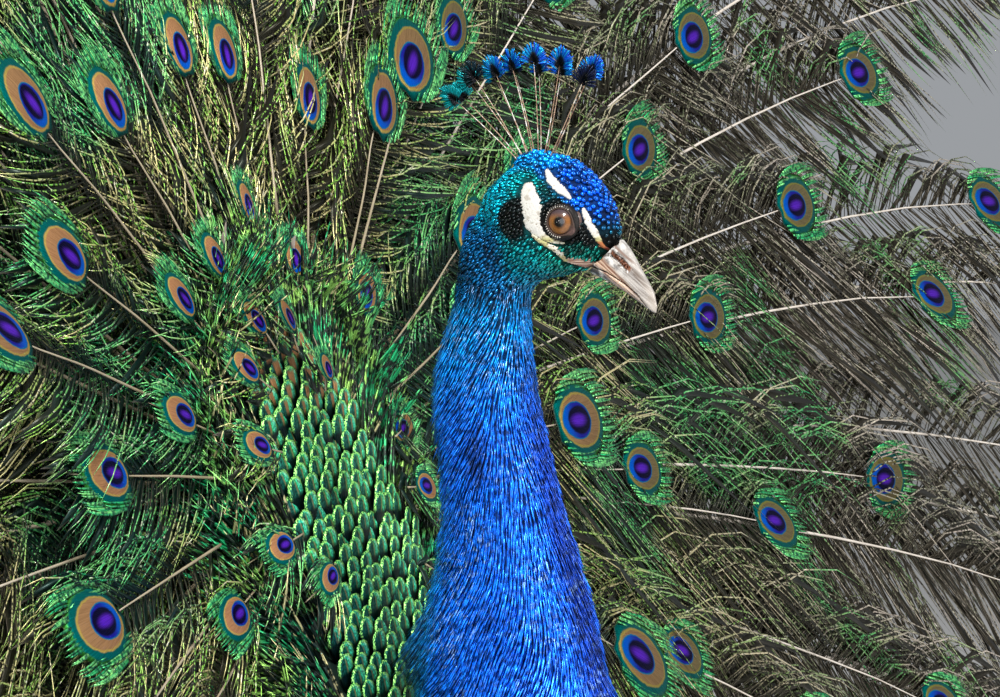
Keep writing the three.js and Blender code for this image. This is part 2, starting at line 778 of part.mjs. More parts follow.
// Tiers of wing feathers, innermost first: count, the run of their roots along and up the wing,
// the run of their directions below the wing's own line, length, half width and lift.
const WING_TIERS = [
  { count: 6, along: [0.28, 0.6], up: [-0.75, -0.3], fall: [15, 9], length: 200, half: 13, lift: 3 },
  { count: 5, along: [0.3, 0.6], up: [-0.5, 0.42], fall: [2, 12], length: 150, half: 16, lift: 8 },
  { count: 5, along: [0.12, 0.45], up: [-0.6, 0.5], fall: [-2, 12], length: 92, half: 16, lift: 13 },
  { count: 3, along: [0.03, 0.22], up: [-0.4, 0.3], fall: [-2, 10], length: 66, half: 20, lift: 17 },
];

function mirrored(points, side) {
  return points.map((p) => vec(side * p.x, p.y, p.z));
}

function wingCore(side) {
  return loft(
    smoothRows(WING_CORE_ROWS, 7).map(([share, half, thick]) => {
      const centre = WRIST.clone().lerp(WING_END, share);
      return mirrored(oval(centre, wingUp, wingOut, half, thick, thick, 10), side);
    }),
  );
}

function wingFeather(tier, i, side) {
  const share = i / (tier.count - 1);
  const start = WRIST.clone()
    .addScaledVector(wingAlong, mix(...tier.along, share) * WING_LENGTH)
    .addScaledVector(wingUp, mix(...tier.up, share) * WING_HALF_HEIGHT);
  const fall = mix(...tier.fall, share) * DEG;
  const along = wingAlong.clone().multiplyScalar(Math.cos(fall))
    .addScaledVector(wingUp, -Math.sin(fall));
  const flat = wingOut.clone().cross(along).normalize();
  const across = flat.applyAxisAngle(along, -WING_SHINGLE);
  const out = along.clone().cross(across).normalize();
  const station = (reach, lift, width, thick) => {
    const at = start.clone().addScaledVector(along, reach * tier.length)
      .addScaledVector(wingOut, lift);
    const [place, sideways, face] = mirrored([at, across, out], side);
    return { at: place, across: sideways, out: face, half: width * tier.half, thick };
  };
  return blade([
    station(0, 1, 0.3, 1.2),
    station(0.35, tier.lift, 0.95, 0.8),
    station(0.82, tier.lift - 1, 0.9, 0.6),
    station(1, tier.lift - 2, 0, 0),
  ]);
}

for (const [name, side] of [["wing_left", 1], ["wing_right", -1]]) {
  const feathers = WING_TIERS.flatMap((tier) =>
    range(tier.count).map((i) => wingFeather(tier, i, side)),
  );
  const wing = union([wingCore(side), ...feathers]);
  const neighbours = union([fleshGrown, thigh(side, GAP), moundSolid(GAP)]);
  addNode(name, wing.subtract(neighbours), BARRED_PLUMAGE);
}

// ---- Legs ----
function thigh(side, grow) {
  const rows = [
    [56, 150, 380, 36, 52],
    [62, 140, 330, 35, 50],
    [62, 152, 282, 28, 38],
    [60, 176, 232, 19, 24],
    [58.5, 199, 192, 12.5, 14.5],
    [HOCK.x, HOCK.y - 2, HOCK.z + 8, 9.5, 10.5],
  ];
  return limb(
    rows.map(([x, y, z, half, depth]) => [side * x, y, z, half + grow, depth + grow]),
    X, 14,
  );
}

// Shank: rows of [height, middle x, middle y, half width, half depth], floor end first. Broad
// plates down its front each stand proud at their lower edge.
const SHANK_ROWS = [
  [15, FOOT.x, FOOT.y + 1, 7.2, 8],
  [28, FOOT.x - 0.4, FOOT.y + 2, 5.9, 7.2],
  [54, FOOT.x - 1.4, FOOT.y + 5, 4.9, 6.2],
  [98, HOCK.x + 2, HOCK.y - 12, 4.9, 6],
  [146, HOCK.x + 0.6, HOCK.y - 3.4, 5.6, 6.8],
  [164, HOCK.x, HOCK.y, 8.2, 9.4],
  [HOCK.z + 7, HOCK.x, HOCK.y - 1.4, 8.4, 9.4],
];
const SHANK_SIDES = 8;
const SCUTE_COUNT = 9;
const SCUTE_PROUD = 0.9;
const SCUTE_LIP = 1.2; // height of the step under a plate's lower edge

function shankRing(side, height, front, grow) {
  const rows = smoothRows(SHANK_ROWS, 24);
  const share = (height - rows[0][0]) / (rows.at(-1)[0] - rows[0][0]);
  const place = Math.min(Math.max(share, 0), 0.9999) * 24;
  const low = rows[Math.floor(place)];
  const [, x, y, half, depth] = low.map((value, i) =>
    mix(value, rows[Math.floor(place) + 1][i], place % 1),
  );
  return oval(vec(side * x, y, height), X, Y, half + grow, depth + grow, depth + grow + front,
    SHANK_SIDES);
}

function shank(side, grow) {
  const bottom = SHANK_ROWS[0][0];
  const top = SHANK_ROWS.at(-1)[0];
  const first = 30;
  const last = 150;
  const rings = [shankRing(side, bottom, 0, grow), shankRing(side, first - 8, 0, grow)];
  for (let i = 0; i < SCUTE_COUNT; i += 1) {
    const lower = mix(first, last, i / SCUTE_COUNT);
    const upper = mix(first, last, (i + 1) / SCUTE_COUNT) - SCUTE_LIP;
    rings.push(shankRing(side, lower, SCUTE_PROUD, grow), shankRing(side, upper, 0, grow));
  }
  rings.push(shankRing(side, 158, 0, grow), shankRing(side, 166, 0, grow));
  rings.push(shankRing(side, top, 0, grow));
  return loft(rings);
}

// Toes: name, direction from straight ahead, length, radius at the root.
const TOES = [
  ["middle", 4, 70, 5.6],
  ["inner", -30, 50, 5],
  ["outer", 34, 54, 5],
  ["hallux", 168, 26, 4.2],
];
const FLOOR_CUT = acrossSlab([[-100, 0], [400, 0], [400, -60], [-100, -60]], 200);

const TOE_STEPS = [0, 0.22, 0.4, 0.6, 0.78, 1];
const SOLE_SHARE = 0.8; // how high a toe's middle lies above the floor, in its own radii

// A toe's middle and radius at a share of its length. Its joints are a little thicker.
function toeAt(side, [, turn, length, radius], share) {
  const heading = turn * DEG;
  const reach = 4 + share * length;
  const jointed = TOE_STEPS.indexOf(share) % 2 === 0 ? 1.06 : 0.92;
  const size = radius * mix(1.05, 0.66, share) * jointed;
  const x = side * (FOOT.x + reach * Math.sin(heading));
  return [x, FOOT.y - reach * Math.cos(heading), SOLE_SHARE * size, size];
}

function toe(side, spec) {
  const turn = spec[1] * DEG;
  const across = vec(Math.cos(turn), side * Math.sin(turn), 0);
  const rows = TOE_STEPS.map((share) => {
    const [x, y, z, size] = toeAt(side, spec, share);
    return [x, y, z, size, size];
  });
  return limb(rows, across, 6);
}

function claw(side, spec) {
  const turn = spec[1] * DEG;
  const forward = vec(side * Math.sin(turn), -Math.cos(turn), 0);
  const across = vec(Math.cos(turn), side * Math.sin(turn), 0);
  const [x, y, z, size] = toeAt(side, spec, 1);
  const start = vec(x, y, z).addScaledVector(forward, GAP);
  const reach = 6 + spec[2] * 0.13;
  const rings = [[0, 0.4, 0.72], [0.45, 1.2, 0.5]].map(([share, lift, scale]) => {
    const centre = start.clone().addScaledVector(forward, share * reach);
    centre.z += lift;
    const below = Math.min(size * scale, centre.z);
    return oval(centre, across, Z, size * scale * 0.8, size * scale, below, 8);
  });
  rings.push([start.clone().addScaledVector(forward, reach).setZ(0.4)]);
  return loft(rings);
}

const SPUR_HEIGHT = 90;

function spur(side) {
  const base = vec(side * (HOCK.x - 1), HOCK.y - 9, SPUR_HEIGHT);
  return loft([
    oval(base, X, Z, 3.6, 3.8, 3.8, 8),
    oval(base.clone().add(vec(-side * 3, 12, 3)), X, Z, 2.5, 2.6, 2.6, 8),
    [base.clone().add(vec(-side * 5, 25, 10))],
  ]);
}

for (const [word, side] of [["left", 1], ["right", -1]]) {
  addNode("thigh_" + word, thigh(side, 0).subtract(fleshGrown), BARRED_PLUMAGE);
  addNode("shank_" + word, shank(side, 0).subtract(thigh(side, GAP)), LEG_SKIN);
  const knuckle = ball(vec(side * FOOT.x, FOOT.y, 6.4), 8.6, 9.4, 8, 9, 6);
  const toes = TOES.map((spec) => toe(side, spec));
  const foot = union([knuckle, ...toes]).subtract(shank(side, GAP)).subtract(FLOOR_CUT);
  addNode("foot_" + word, foot, LEG_SKIN);
  for (const spec of TOES) {
    addNode("claw_" + spec[0] + "_" + word, claw(side, spec), CLAW_HORN);
  }
  addNode("spur_" + word, spur(side).subtract(shank(side, GAP)), CLAW_HORN);
}

export default root;
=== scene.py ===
import math

import bmesh
import bpy
import numpy as np
from mathutils import Matrix, Vector
from mathutils.bvhtree import BVHTree


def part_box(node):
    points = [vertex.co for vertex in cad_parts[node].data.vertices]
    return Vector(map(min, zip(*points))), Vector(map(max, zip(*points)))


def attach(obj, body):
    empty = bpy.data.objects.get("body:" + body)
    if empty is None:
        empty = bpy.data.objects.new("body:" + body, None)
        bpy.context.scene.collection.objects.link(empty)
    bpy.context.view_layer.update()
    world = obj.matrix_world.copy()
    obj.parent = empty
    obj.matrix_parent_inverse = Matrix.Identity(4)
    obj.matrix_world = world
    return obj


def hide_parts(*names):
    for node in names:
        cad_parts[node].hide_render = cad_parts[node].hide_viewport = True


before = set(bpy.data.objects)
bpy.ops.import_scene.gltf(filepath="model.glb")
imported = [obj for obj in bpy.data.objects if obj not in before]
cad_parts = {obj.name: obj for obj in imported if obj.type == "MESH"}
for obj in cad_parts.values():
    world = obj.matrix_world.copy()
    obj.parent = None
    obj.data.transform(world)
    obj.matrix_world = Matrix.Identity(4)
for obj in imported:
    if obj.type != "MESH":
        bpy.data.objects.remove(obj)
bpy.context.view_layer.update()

# ---- Standpoint, floor and light ----
# A plain pale floor and soft studio lights stand round the bird. The camera looks at the head
# from ahead and to the bird's right, from a little above, through a long lens.
CAMERA_AZIMUTH = math.radians(-64)
CAMERA_ELEVATION = math.radians(3)
CAMERA_DISTANCE = 3.0
LENS_MM = 225
SENSOR_MM = 36
IMAGE_WIDTH, IMAGE_HEIGHT = 1000, 697
EYE_PIXEL = (558, 222)  # where the right eye stands in the image

eye_low, eye_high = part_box("eye_right")
EYE_MIDDLE = (eye_low + eye_high) / 2
EYE_Y = EYE_MIDDLE.y
EYE_SURFACE = Vector((eye_low.x, EYE_Y, EYE_MIDDLE.z))


def new_object(name, data):
    made = bpy.data.objects.new(name, data)
    bpy.context.scene.collection.objects.link(made)
    return made


def aim_camera():
    metres_per_pixel = CAMERA_DISTANCE * SENSOR_MM / LENS_MM / IMAGE_WIDTH
    right = Vector((math.cos(CAMERA_AZIMUTH), math.sin(CAMERA_AZIMUTH), 0))
    back = Vector((
        math.sin(CAMERA_AZIMUTH) * math.cos(CAMERA_ELEVATION),
        -math.cos(CAMERA_AZIMUTH) * math.cos(CAMERA_ELEVATION),
        math.sin(CAMERA_ELEVATION),
    ))
    up = back.cross(right)
    data = bpy.data.cameras.new("camera")
    data.lens = LENS_MM
    data.sensor_width = SENSOR_MM
    data.clip_end = 60
    camera = new_object("camera", data)
    camera.location = (
        EYE_SURFACE + back * CAMERA_DISTANCE
        - right * (EYE_PIXEL[0] - IMAGE_WIDTH / 2) * metres_per_pixel
        + up * (EYE_PIXEL[1] - IMAGE_HEIGHT / 2) * metres_per_pixel
    )
    camera.rotation_euler = Matrix((right, up, back)).transposed().to_euler()
    bpy.context.scene.camera = camera


aim_camera()

FLOOR_HALF = 14


def lay_floor():
    mesh = bpy.data.meshes.new("floor")
    corners = [(-1, -1), (1, -1), (1, 1), (-1, 1)]
    mesh.from_pydata([(x * FLOOR_HALF, y * FLOOR_HALF, 0) for x, y in corners], [], [(0, 1, 2, 3)])
    pale = bpy.data.materials.new("pale_floor")
    pale.use_nodes = True
    shader = pale.node_tree.nodes["Principled BSDF"]
    shader.inputs["Base Color"].default_value = (0.62, 0.61, 0.59, 1)
    shader.inputs["Roughness"].default_value = 0.8
    mesh.materials.append(pale)
    new_object("floor", mesh)


lay_floor()

# Each light: place, size in metres, watts and colour.
LIGHTS = {
    "key": ((-2.2, -0.9, 3.4), 0.8, 200, (1.0, 0.96, 0.9)),
    "fill": ((-3.4, -0.6, 1.0), 2.4, 58, (0.9, 0.95, 1.0)),
    "front": ((0.6, -3.6, 2.2), 1.8, 105, (1.0, 0.98, 0.95)),
    "rear": ((1.4, 3.4, 2.6), 2.2, 90, (0.95, 0.97, 1.0)),
}
LIGHT_TARGET = Vector((0, 0, 0.8))


def hang_lights():
    for name, (place, size, watts, color) in LIGHTS.items():
        data = bpy.data.lights.new(name, "AREA")
        data.shape = "DISK"
        data.size = size
        data.energy = watts
        data.color = color
        lamp = new_object(name, data)
        lamp.location = place
        lamp.rotation_euler = (LIGHT_TARGET - Vector(place)).to_track_quat("-Z", "Y").to_euler()
    world = bpy.data.worlds.new("studio")
    world.use_nodes = True
    sky = world.node_tree.nodes["Background"].inputs
    sky["Color"].default_value = (0.86, 0.9, 0.95, 1)
    sky["Strength"].default_value = 0.38
    bpy.context.scene.world = world
    bpy.context.scene.view_settings.view_transform = "Standard"


hang_lights()

# ---- Train feathers ----
# About a hundred and fifty loose-vaned upper tail coverts stand in a fan that leans back from a
# hub on the rump. Each has a pale horny shaft and barbs of bronze green and gold; most end in an eye.
# Lengths are in metres. The fan's own axes run sideways, up along its lean, and out of its front.
MM = 0.001
FAN_HUB = np.array([0, 0.150 + EYE_Y, 0.636])
FAN_LEAN = math.radians(18.5)
FAN_RADIUS = 1.2
FAN_DISH = 0.050
FAN_DROOP = math.radians(6)
SIDEWAYS = np.array([1.0, 0, 0])
FAN_UP = np.array([0, math.sin(FAN_LEAN), math.cos(FAN_LEAN)])
FAN_OUT = np.array([0, -math.cos(FAN_LEAN), math.sin(FAN_LEAN)])
DOWN = np.array([0, 0, -1.0])

# The feathered mound that the fan grows from: rise along the lean from the hub, half width, depth
# in front and depth behind.
MOUND_ROWS = MM * np.array([
    (-215, 62, 14, 60), (-170, 78, 20, 92), (-110, 89, 21, 96), (-40, 91, 20, 78),
    (20, 86, 18, 56), (62, 66, 15, 38), (88, 36, 10, 22), (96, 14, 6, 12),
])


def unit(vectors):
    return vectors / np.linalg.norm(vectors, axis=-1, keepdims=True)


def mound_front(x, rise):
    width = np.interp(rise, MOUND_ROWS[:, 0], MOUND_ROWS[:, 1])
    front = np.interp(rise, MOUND_ROWS[:, 0], MOUND_ROWS[:, 2])
    covered = np.clip(1 - (x / width) ** 2, 0, 1) * (rise < MOUND_ROWS[-1, 0])
    return front * np.sqrt(covered)


# A place in the fan. Feathers that lie over the mound's front ride on it.
def fan_point(radius, angle, depth, slide, over=0.0):
    share = radius / FAN_RADIUS
    turned = angle + FAN_DROOP * np.sin(angle) * share**2
    x, rise = radius * np.sin(turned), radius * np.cos(turned) - slide
    out = FAN_DISH * share**2 - depth
    if np.any(over):
        out = np.maximum(out, mound_front(x, rise) + over)
    return FAN_HUB + x[..., None] * SIDEWAYS + rise[..., None] * FAN_UP + out[..., None] * FAN_OUT


# Cross-sections as (across, out) from the right edge round the front to the left and back.
def round_section(sides):
    turns = 2 * np.pi * (np.arange(sides) + 0.5) / sides
    return np.stack([np.cos(turns), np.sin(turns)], axis=-1)


THREAD = round_section(3)
QUILL = round_section(5)
LEAF = np.array([(1, 0), (0.5, 4.0), (0, 6.0), (-0.5, 4.0), (-1, 0), (-0.5, 2.6), (0, 4.4), (0.5, 2.6)])


# Faces between rings of points, each ring after the one before.
def ring_quads(rings, sides):
    around = [(j, (j + 1) % sides) for j in range(sides)]
    return [(i * sides + j, i * sides + k, (i + 1) * sides + k, (i + 1) * sides + j)
            for i in range(rings - 1) for j, k in around]


# A bundle of closed strands. Each strand is a row of stations with the ways across and out of it,
# its half width and half thickness; it starts in a flat cap and ends in a point.
def strand_mesh(path, across, out, half, thick, section):
    count, stations = half.shape
    rings, sides = stations - 1, len(section)
    ring = (
        path[:, :rings, None]
        + across[:, :rings, None] * (half[:, :rings, None] * section[:, 0])[..., None]
        + out[:, :rings, None] * (thick[:, :rings, None] * section[:, 1])[..., None]
    )
    points = np.concatenate([ring.reshape(count, -1, 3), path[:, -1:]], axis=1)
    quads = ring_quads(rings, sides)
    last = (rings - 1) * sides
    tips = [(last + j, last + (j + 1) % sides, rings * sides) for j in range(sides)]
    cap = tuple(reversed(range(sides)))
    share = np.concatenate([np.repeat(np.arange(rings) / rings, sides), [1.0]])
    around = np.concatenate([np.tile(section[:, 0], rings), [0.0]])
    return points, (quads, tips, [cap]), share, around


# Joins bundles of strands or templates into one mesh. Each bundle: points (count, n, 3), faces of
# one copy, a corner map (count, n, 2) for the bake and a pattern map (count, n, 2).
def joined_mesh(name, bundles):
    points, bake, vane, corners, totals = [], [], [], [], []
    start = 0
    for copies, face_groups, bake_map, vane_map in bundles:
        count, size = copies.shape[:2]
        offsets = start + size * np.arange(count)
        for faces in face_groups:
            faces = np.array(faces)
            if not len(faces):
                continue
            corners.append((offsets[:, None, None] + faces[None]).reshape(-1))
            totals.append(np.full(count * len(faces), faces.shape[1]))
        points.append(copies.reshape(-1, 3))
        bake.append(bake_map.reshape(-1, 2))
        vane.append(vane_map.reshape(-1, 2))
        start += count * size
    corners = np.concatenate(corners)
    totals = np.concatenate(totals)
    mesh = bpy.data.meshes.new(name)
    mesh.vertices.add(start)
    mesh.vertices.foreach_set("co", np.concatenate(points).astype(np.float32).ravel())
    mesh.loops.add(len(corners))
    mesh.loops.foreach_set("vertex_index", corners.astype(np.int32))
    mesh.polygons.add(len(totals))
    mesh.polygons.foreach_set("loop_start", np.concatenate([[0], np.cumsum(totals)[:-1]]).astype(np.int32))
    mesh.polygons.foreach_set("loop_total", totals.astype(np.int32))
    for map_name, values in (("OFBake", bake), ("Vane", vane)):
        layer = mesh.uv_layers.new(name=map_name)
        layer.data.foreach_set("uv", np.concatenate(values)[corners].astype(np.float32).ravel())
    mesh.update(calc_edges=True)
    return mesh


# All faces of a bundle take the material at its place in the list of kinds.
def set_kinds(mesh, bundles, kinds):
    faces = [sum(len(group) for group in bundle[1]) * len(bundle[0]) for bundle in bundles]
    mesh.polygons.foreach_set("material_index", np.repeat(kinds, faces).astype(np.int32))


# A map with the given values along its two axes, each spread over the whole shape.
def map_of(first, second, shape):
    return np.stack([np.broadcast_to(first, shape), np.broadcast_to(second, shape)], axis=-1)


def add_piece(name, mesh, materials, replaced=()):
    piece = new_object(name, mesh)
    for material in materials:
        mesh.materials.append(material)
    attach(piece, "root")
    if replaced:
        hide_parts(*replaced)
    return piece


# Nodes of a material, joined by short calls.
class Paint:
    def __init__(self, name, roughness, metallic=0.0, coat=0.0, sheen=0.0, specular=0.5):
        self.material = bpy.data.materials.new(name)
        self.material.use_nodes = True
        self.nodes = self.material.node_tree.nodes
        self.links = self.material.node_tree.links
        self.shader = self.nodes["Principled BSDF"]
        for socket, value in (
            ("Roughness", roughness), ("Metallic", metallic), ("Coat Weight", coat),
            ("Sheen Weight", sheen), ("Specular IOR Level", specular),
        ):
            self.shader.inputs[socket].default_value = value

    def feed(self, socket, value):
        if isinstance(value, bpy.types.NodeSocket):
            self.links.new(value, socket)
        elif isinstance(value, tuple) and len(value) == 3 and socket.type == "RGBA":
            socket.default_value = (*value, 1)
        else:
            socket.default_value = value

    def map(self, name):
        node = self.nodes.new("ShaderNodeUVMap")
        node.uv_map = name
        return node.outputs["UV"]

    def place(self):
        return self.nodes.new("ShaderNodeTexCoord").outputs["Object"]

    def split(self, vector):
        node = self.nodes.new("ShaderNodeSeparateXYZ")
        self.feed(node.inputs[0], vector)
        return node.outputs

    def join(self, x, y, z=0.0):
        node = self.nodes.new("ShaderNodeCombineXYZ")
        for socket, value in zip(node.inputs, (x, y, z)):
            self.feed(socket, value)
        return node.outputs[0]

    def math(self, operation, a, b=0.0, c=0.0):
        node = self.nodes.new("ShaderNodeMath")
        node.operation = operation
        for socket, value in zip(node.inputs, (a, b, c)):
            self.feed(socket, value)
        return node.outputs[0]

    def times(self, a, b):
        return self.math("MULTIPLY", a, b)

    def length(self, a, b):
        return self.math("SQRT", self.math("ADD", self.times(a, a), self.times(b, b)))

    def vector(self, operation, a, b):
        node = self.nodes.new("ShaderNodeVectorMath")
        node.operation = operation
        self.feed(node.inputs[0], a)
        self.feed(node.inputs["Scale" if operation == "SCALE" else 1], b)
        return node.outputs["Value" if operation in ("DOT_PRODUCT", "DISTANCE") else 0]

    def ramp(self, value, low, high, start=0.0, end=1.0):
        node = self.nodes.new("ShaderNodeMapRange")
        node.interpolation_type = "SMOOTHSTEP"
        for i, v in enumerate((value, low, high, start, end)):
            self.feed(node.inputs[i], v)
        return node.outputs[0]

    def noise(self, vector, scale, detail=2.0, roughness=0.5):
        node = self.nodes.new("ShaderNodeTexNoise")
        self.feed(node.inputs["Vector"], vector)
        node.inputs["Scale"].default_value = scale
        node.inputs["Detail"].default_value = detail
        node.inputs["Roughness"].default_value = roughness
        return node.outputs["Fac"]

    def mix(self, factor, a, b):
        node = self.nodes.new("ShaderNodeMix")
        node.data_type = "RGBA"
        self.feed(node.inputs[0], factor)
        self.feed(node.inputs[6], a)
        self.feed(node.inputs[7], b)
        return node.outputs[2]

    def bump(self, height, distance, strength=1.0):
        node = self.nodes.new("ShaderNodeBump")
        self.feed(node.inputs["Height"], height)
        node.inputs["Distance"].default_value = distance
        node.inputs["Strength"].default_value = strength
        self.links.new(node.outputs[0], self.shader.inputs["Normal"])

    def color(self, value):
        self.feed(self.shader.inputs["Base Color"], value)
        return self.material

    # 1 where a face looks the given way, 0 where it looks the other
    def facing(self, way, low=-0.35, high=0.1):
        normal = self.nodes.new("ShaderNodeNewGeometry").outputs["Normal"]
        return self.ramp(self.vector("DOT_PRODUCT", normal, tuple(way)), low, high)

    def from_hub(self):
        return self.vector("DISTANCE", self.place(), tuple(FAN_HUB))


# Barbs carry painted highlights: lime and gold dashes and pale glints over a dark green ground; far out they
# turn to brown and olive.
def barb_paint():
    paint = Paint("train_barbs", roughness=0.38, metallic=0.55)
    along, strand, _ = paint.split(paint.map("Vane"))
    place = paint.place()
    drift = paint.noise(place, 9.0)
    dashes = paint.noise(place, 500.0, detail=2.0)
    far = paint.ramp(paint.from_hub(), 0.22, 0.75)
    tone = paint.math("FRACT", paint.times(strand, 7.13))
    ground = paint.mix(paint.ramp(drift, 0.38, 0.62), (0.014, 0.013, 0.005), (0.001, 0.020, 0.016))
    ground = paint.mix(far, ground, (0.022, 0.018, 0.010))
    lime = paint.mix(paint.ramp(tone, 0.3, 0.8), (0.27, 0.62, 0.08), (0.66, 0.60, 0.27))
    green = paint.mix(tone, (0.01, 0.42, 0.14), (0.24, 0.72, 0.22))
    bright = paint.mix(paint.ramp(drift, 0.48, 0.62), lime, green)
    dull = paint.mix(tone, (0.21, 0.25, 0.13), (0.66, 0.57, 0.50))
    bright = paint.mix(paint.times(far, paint.ramp(drift, 0.60, 0.48)), bright, dull)
    # The glint is a painted pale highlight on the bright dashes.
    glint = paint.ramp(paint.noise(place, 320.0), 0.56, 0.68, 0.0, 0.75)
    bright = paint.mix(glint, bright, (0.92, 0.88, 0.72))
    # The lit dashes and the sparkle are painted highlights over the dark ground.
    lit = paint.math("ADD", dashes, paint.times(tone, 0.14))
    lit = paint.ramp(paint.math("MULTIPLY_ADD", along, 0.16, lit), 0.575, 0.675)
    sparkle = paint.times(lit, paint.ramp(along, 0.05, 0.4))
    front = paint.mix(sparkle, ground, bright)
    hugging = paint.mix(paint.ramp(dashes, 0.36, 0.62), (0.0, 0.07, 0.035), green)
    front = paint.mix(paint.ramp(strand, 1.0, 1.01), front, hugging)
    rear = paint.mix(dashes, (0.16, 0.13, 0.10), (0.34, 0.30, 0.25))
    return paint.color(paint.mix(paint.facing(FAN_OUT), rear, front))


def shaft_paint():
    paint = Paint("train_shafts", roughness=0.35)
    place = paint.place()
    ripple = paint.noise(place, 60.0)
    near = paint.mix(ripple, (0.16, 0.13, 0.07), (0.36, 0.31, 0.22))
    front = paint.mix(ripple, (0.46, 0.40, 0.34), (0.78, 0.73, 0.67))
    front = paint.mix(paint.ramp(paint.from_hub(), 0.15, 0.5), near, front)
    rear = paint.mix(ripple, (0.30, 0.22, 0.14), (0.45, 0.36, 0.26))
    return paint.color(paint.mix(paint.facing(FAN_OUT, -0.3, 0.2), rear, front))


# The eye's map runs from -1 to 1 across and along the shaft, its tip at +1. A painted violet highlight lies
# in a blue-black heart whose foot is painted brighter blue as a highlight, inside a disc of copper or olive
# and a green rim.
def ocellus_paint():
    paint = Paint("train_eyes", roughness=0.42, metallic=0.5, specular=0.0)
    x, y, _ = paint.split(paint.map("Vane"))
    x = paint.math("MULTIPLY_ADD", x, 2.0, -1.0)
    y = paint.math("MULTIPLY_ADD", y, 2.0, -1.0)
    place = paint.place()
    ripple = paint.math("MULTIPLY_ADD", paint.noise(place, 260.0), 0.10, -0.05)
    slope = paint.math("ARCTAN2", x, paint.math("ADD", y, 1.6))
    line = paint.noise(paint.join(paint.times(slope, 60.0), paint.times(y, 1.5)), 1.0)

    def reach(lift, flat, long):
        shifted = paint.math("DIVIDE", paint.math("SUBTRACT", y, lift), long)
        sideways = paint.math("DIVIDE", x, flat)
        return paint.math("ADD", paint.length(shifted, sideways), ripple)

    near = paint.ramp(paint.from_hub(), 0.46, 0.14)
    fringe_reach = reach(0.0, 0.88, 0.90)
    bronze_reach = reach(0.0, 0.66, 0.70)
    blue_reach = reach(-0.16, 0.45, 0.48)
    dark_reach = reach(-0.10, 0.34, 0.38)
    highlight_reach = reach(-0.14, 0.14, 0.24)
    fringe = paint.mix(line, (0.004, 0.06, 0.012), (0.06, 0.34, 0.05))
    teal = paint.mix(line, (0.0, 0.026, 0.030), (0.0, 0.12, 0.11))
    olive = paint.mix(line, (0.05, 0.045, 0.018), (0.19, 0.150, 0.070))
    copper = paint.mix(line, (0.15, 0.066, 0.027), (0.44, 0.22, 0.105))
    bronze = paint.mix(near, olive, copper)
    rim = paint.mix(near, (0.16, 0.15, 0.03), (0.36, 0.24, 0.06))
    # The brighter blue toward the foot is a painted highlight on the blue heart.
    foot = paint.ramp(y, -0.15, -0.55)
    blue = paint.mix(foot, (0.008, 0.010, 0.22), (0.0, 0.07, 0.42))
    blue = paint.mix(paint.ramp(blue_reach, 0.90, 0.98), blue, (0.0, 0.12, 0.22))
    dark = paint.mix(line, (0.001, 0.001, 0.006), (0.003, 0.002, 0.03))
    # The violet spark is a painted highlight in the dark heart.
    violet_highlight = paint.mix(line, (0.015, 0.003, 0.12), (0.12, 0.02, 0.60))
    dark = paint.mix(paint.ramp(highlight_reach, 1.5, 0.4), dark, violet_highlight)
    shade = paint.mix(paint.ramp(fringe_reach, 0.93, 1.03), teal, fringe)
    shade = paint.mix(paint.ramp(bronze_reach, 0.97, 1.03), rim, shade)
    shade = paint.mix(paint.ramp(bronze_reach, 0.90, 0.95), bronze, shade)
    shade = paint.mix(paint.ramp(blue_reach, 0.97, 1.03), blue, shade)
    shade = paint.mix(paint.ramp(dark_reach, 0.90, 1.08), dark, shade)
    rear = paint.mix(line, (0.08, 0.07, 0.05), (0.16, 0.135, 0.10))
    paint.bump(line, 0.0006, 0.6)
    return paint.color(paint.mix(paint.facing(FAN_OUT), rear, shade))


BARBS, SHAFTS, OCELLI = barb_paint(), shaft_paint(), ocellus_paint()

# Short feathers round the scaled back: radius of the eye from the hub in millimetres, and angle.
SHORT_FEATHERS = (
    (43, -3), (66, -114), (74, -15), (81, -76), (75, 118), (82, -53), (86, -101), (85, -31), (80, 92),
    (93, 77), (109, 17), (118, -24), (128, -46), (131, -73), (134, 1), (136, -109), (130, 50),
    (150, 112), (170, 98), (205, -85), (214, -28), (216, 8), (217, 29), (218, -4), (218, -58),
    (225, 72), (232, 102), (235, -118), (257, -101), (262, 45), (271, 65), (262, -43), (265, -16),
    (275, -72), (300, 18), (313, 48), (305, 88), (310, -112), (318, 112),
)
# Longer ones stand in tiers: radius, half width of the eye, barb length, spacing of the barbs, first
# and last angle in degrees, and how many.
TRAIN_TIERS = {
    "train_tier_1": (0.405, 0.0180, 0.122, 0.0032, -109, 105, 18),
    "train_tier_2": (0.552, 0.0195, 0.136, 0.0036, -103, 108, 19),
    "train_tier_3": (0.715, 0.0205, 0.146, 0.0040, -108, 103, 19),
    "train_tier_4": (0.880, 0.0210, 0.152, 0.0044, -102, 107, 19),
    "train_tier_5": (1.050, 0.0215, 0.152, 0.0048, -106, 102, 19),
    "train_fishtails": (1.160, 0.0, 0.120, 0.0054, -103, 103, 20),
}
EYE_LENGTH_RATIO = 1.3
TIER_DEPTH = 0.006
FIRST_DEPTH = 0.018
SLIDE_FROM = math.radians(60)
SHORT_SLIDE = 0.045
BARB_STATIONS = 5
SHAFT_STATIONS = 14
EYE_ROW_START = 0.80  # part of the bake square above this belongs to the eyes
EYE_COLUMNS = 10
train_draw = np.random.default_rng(7)


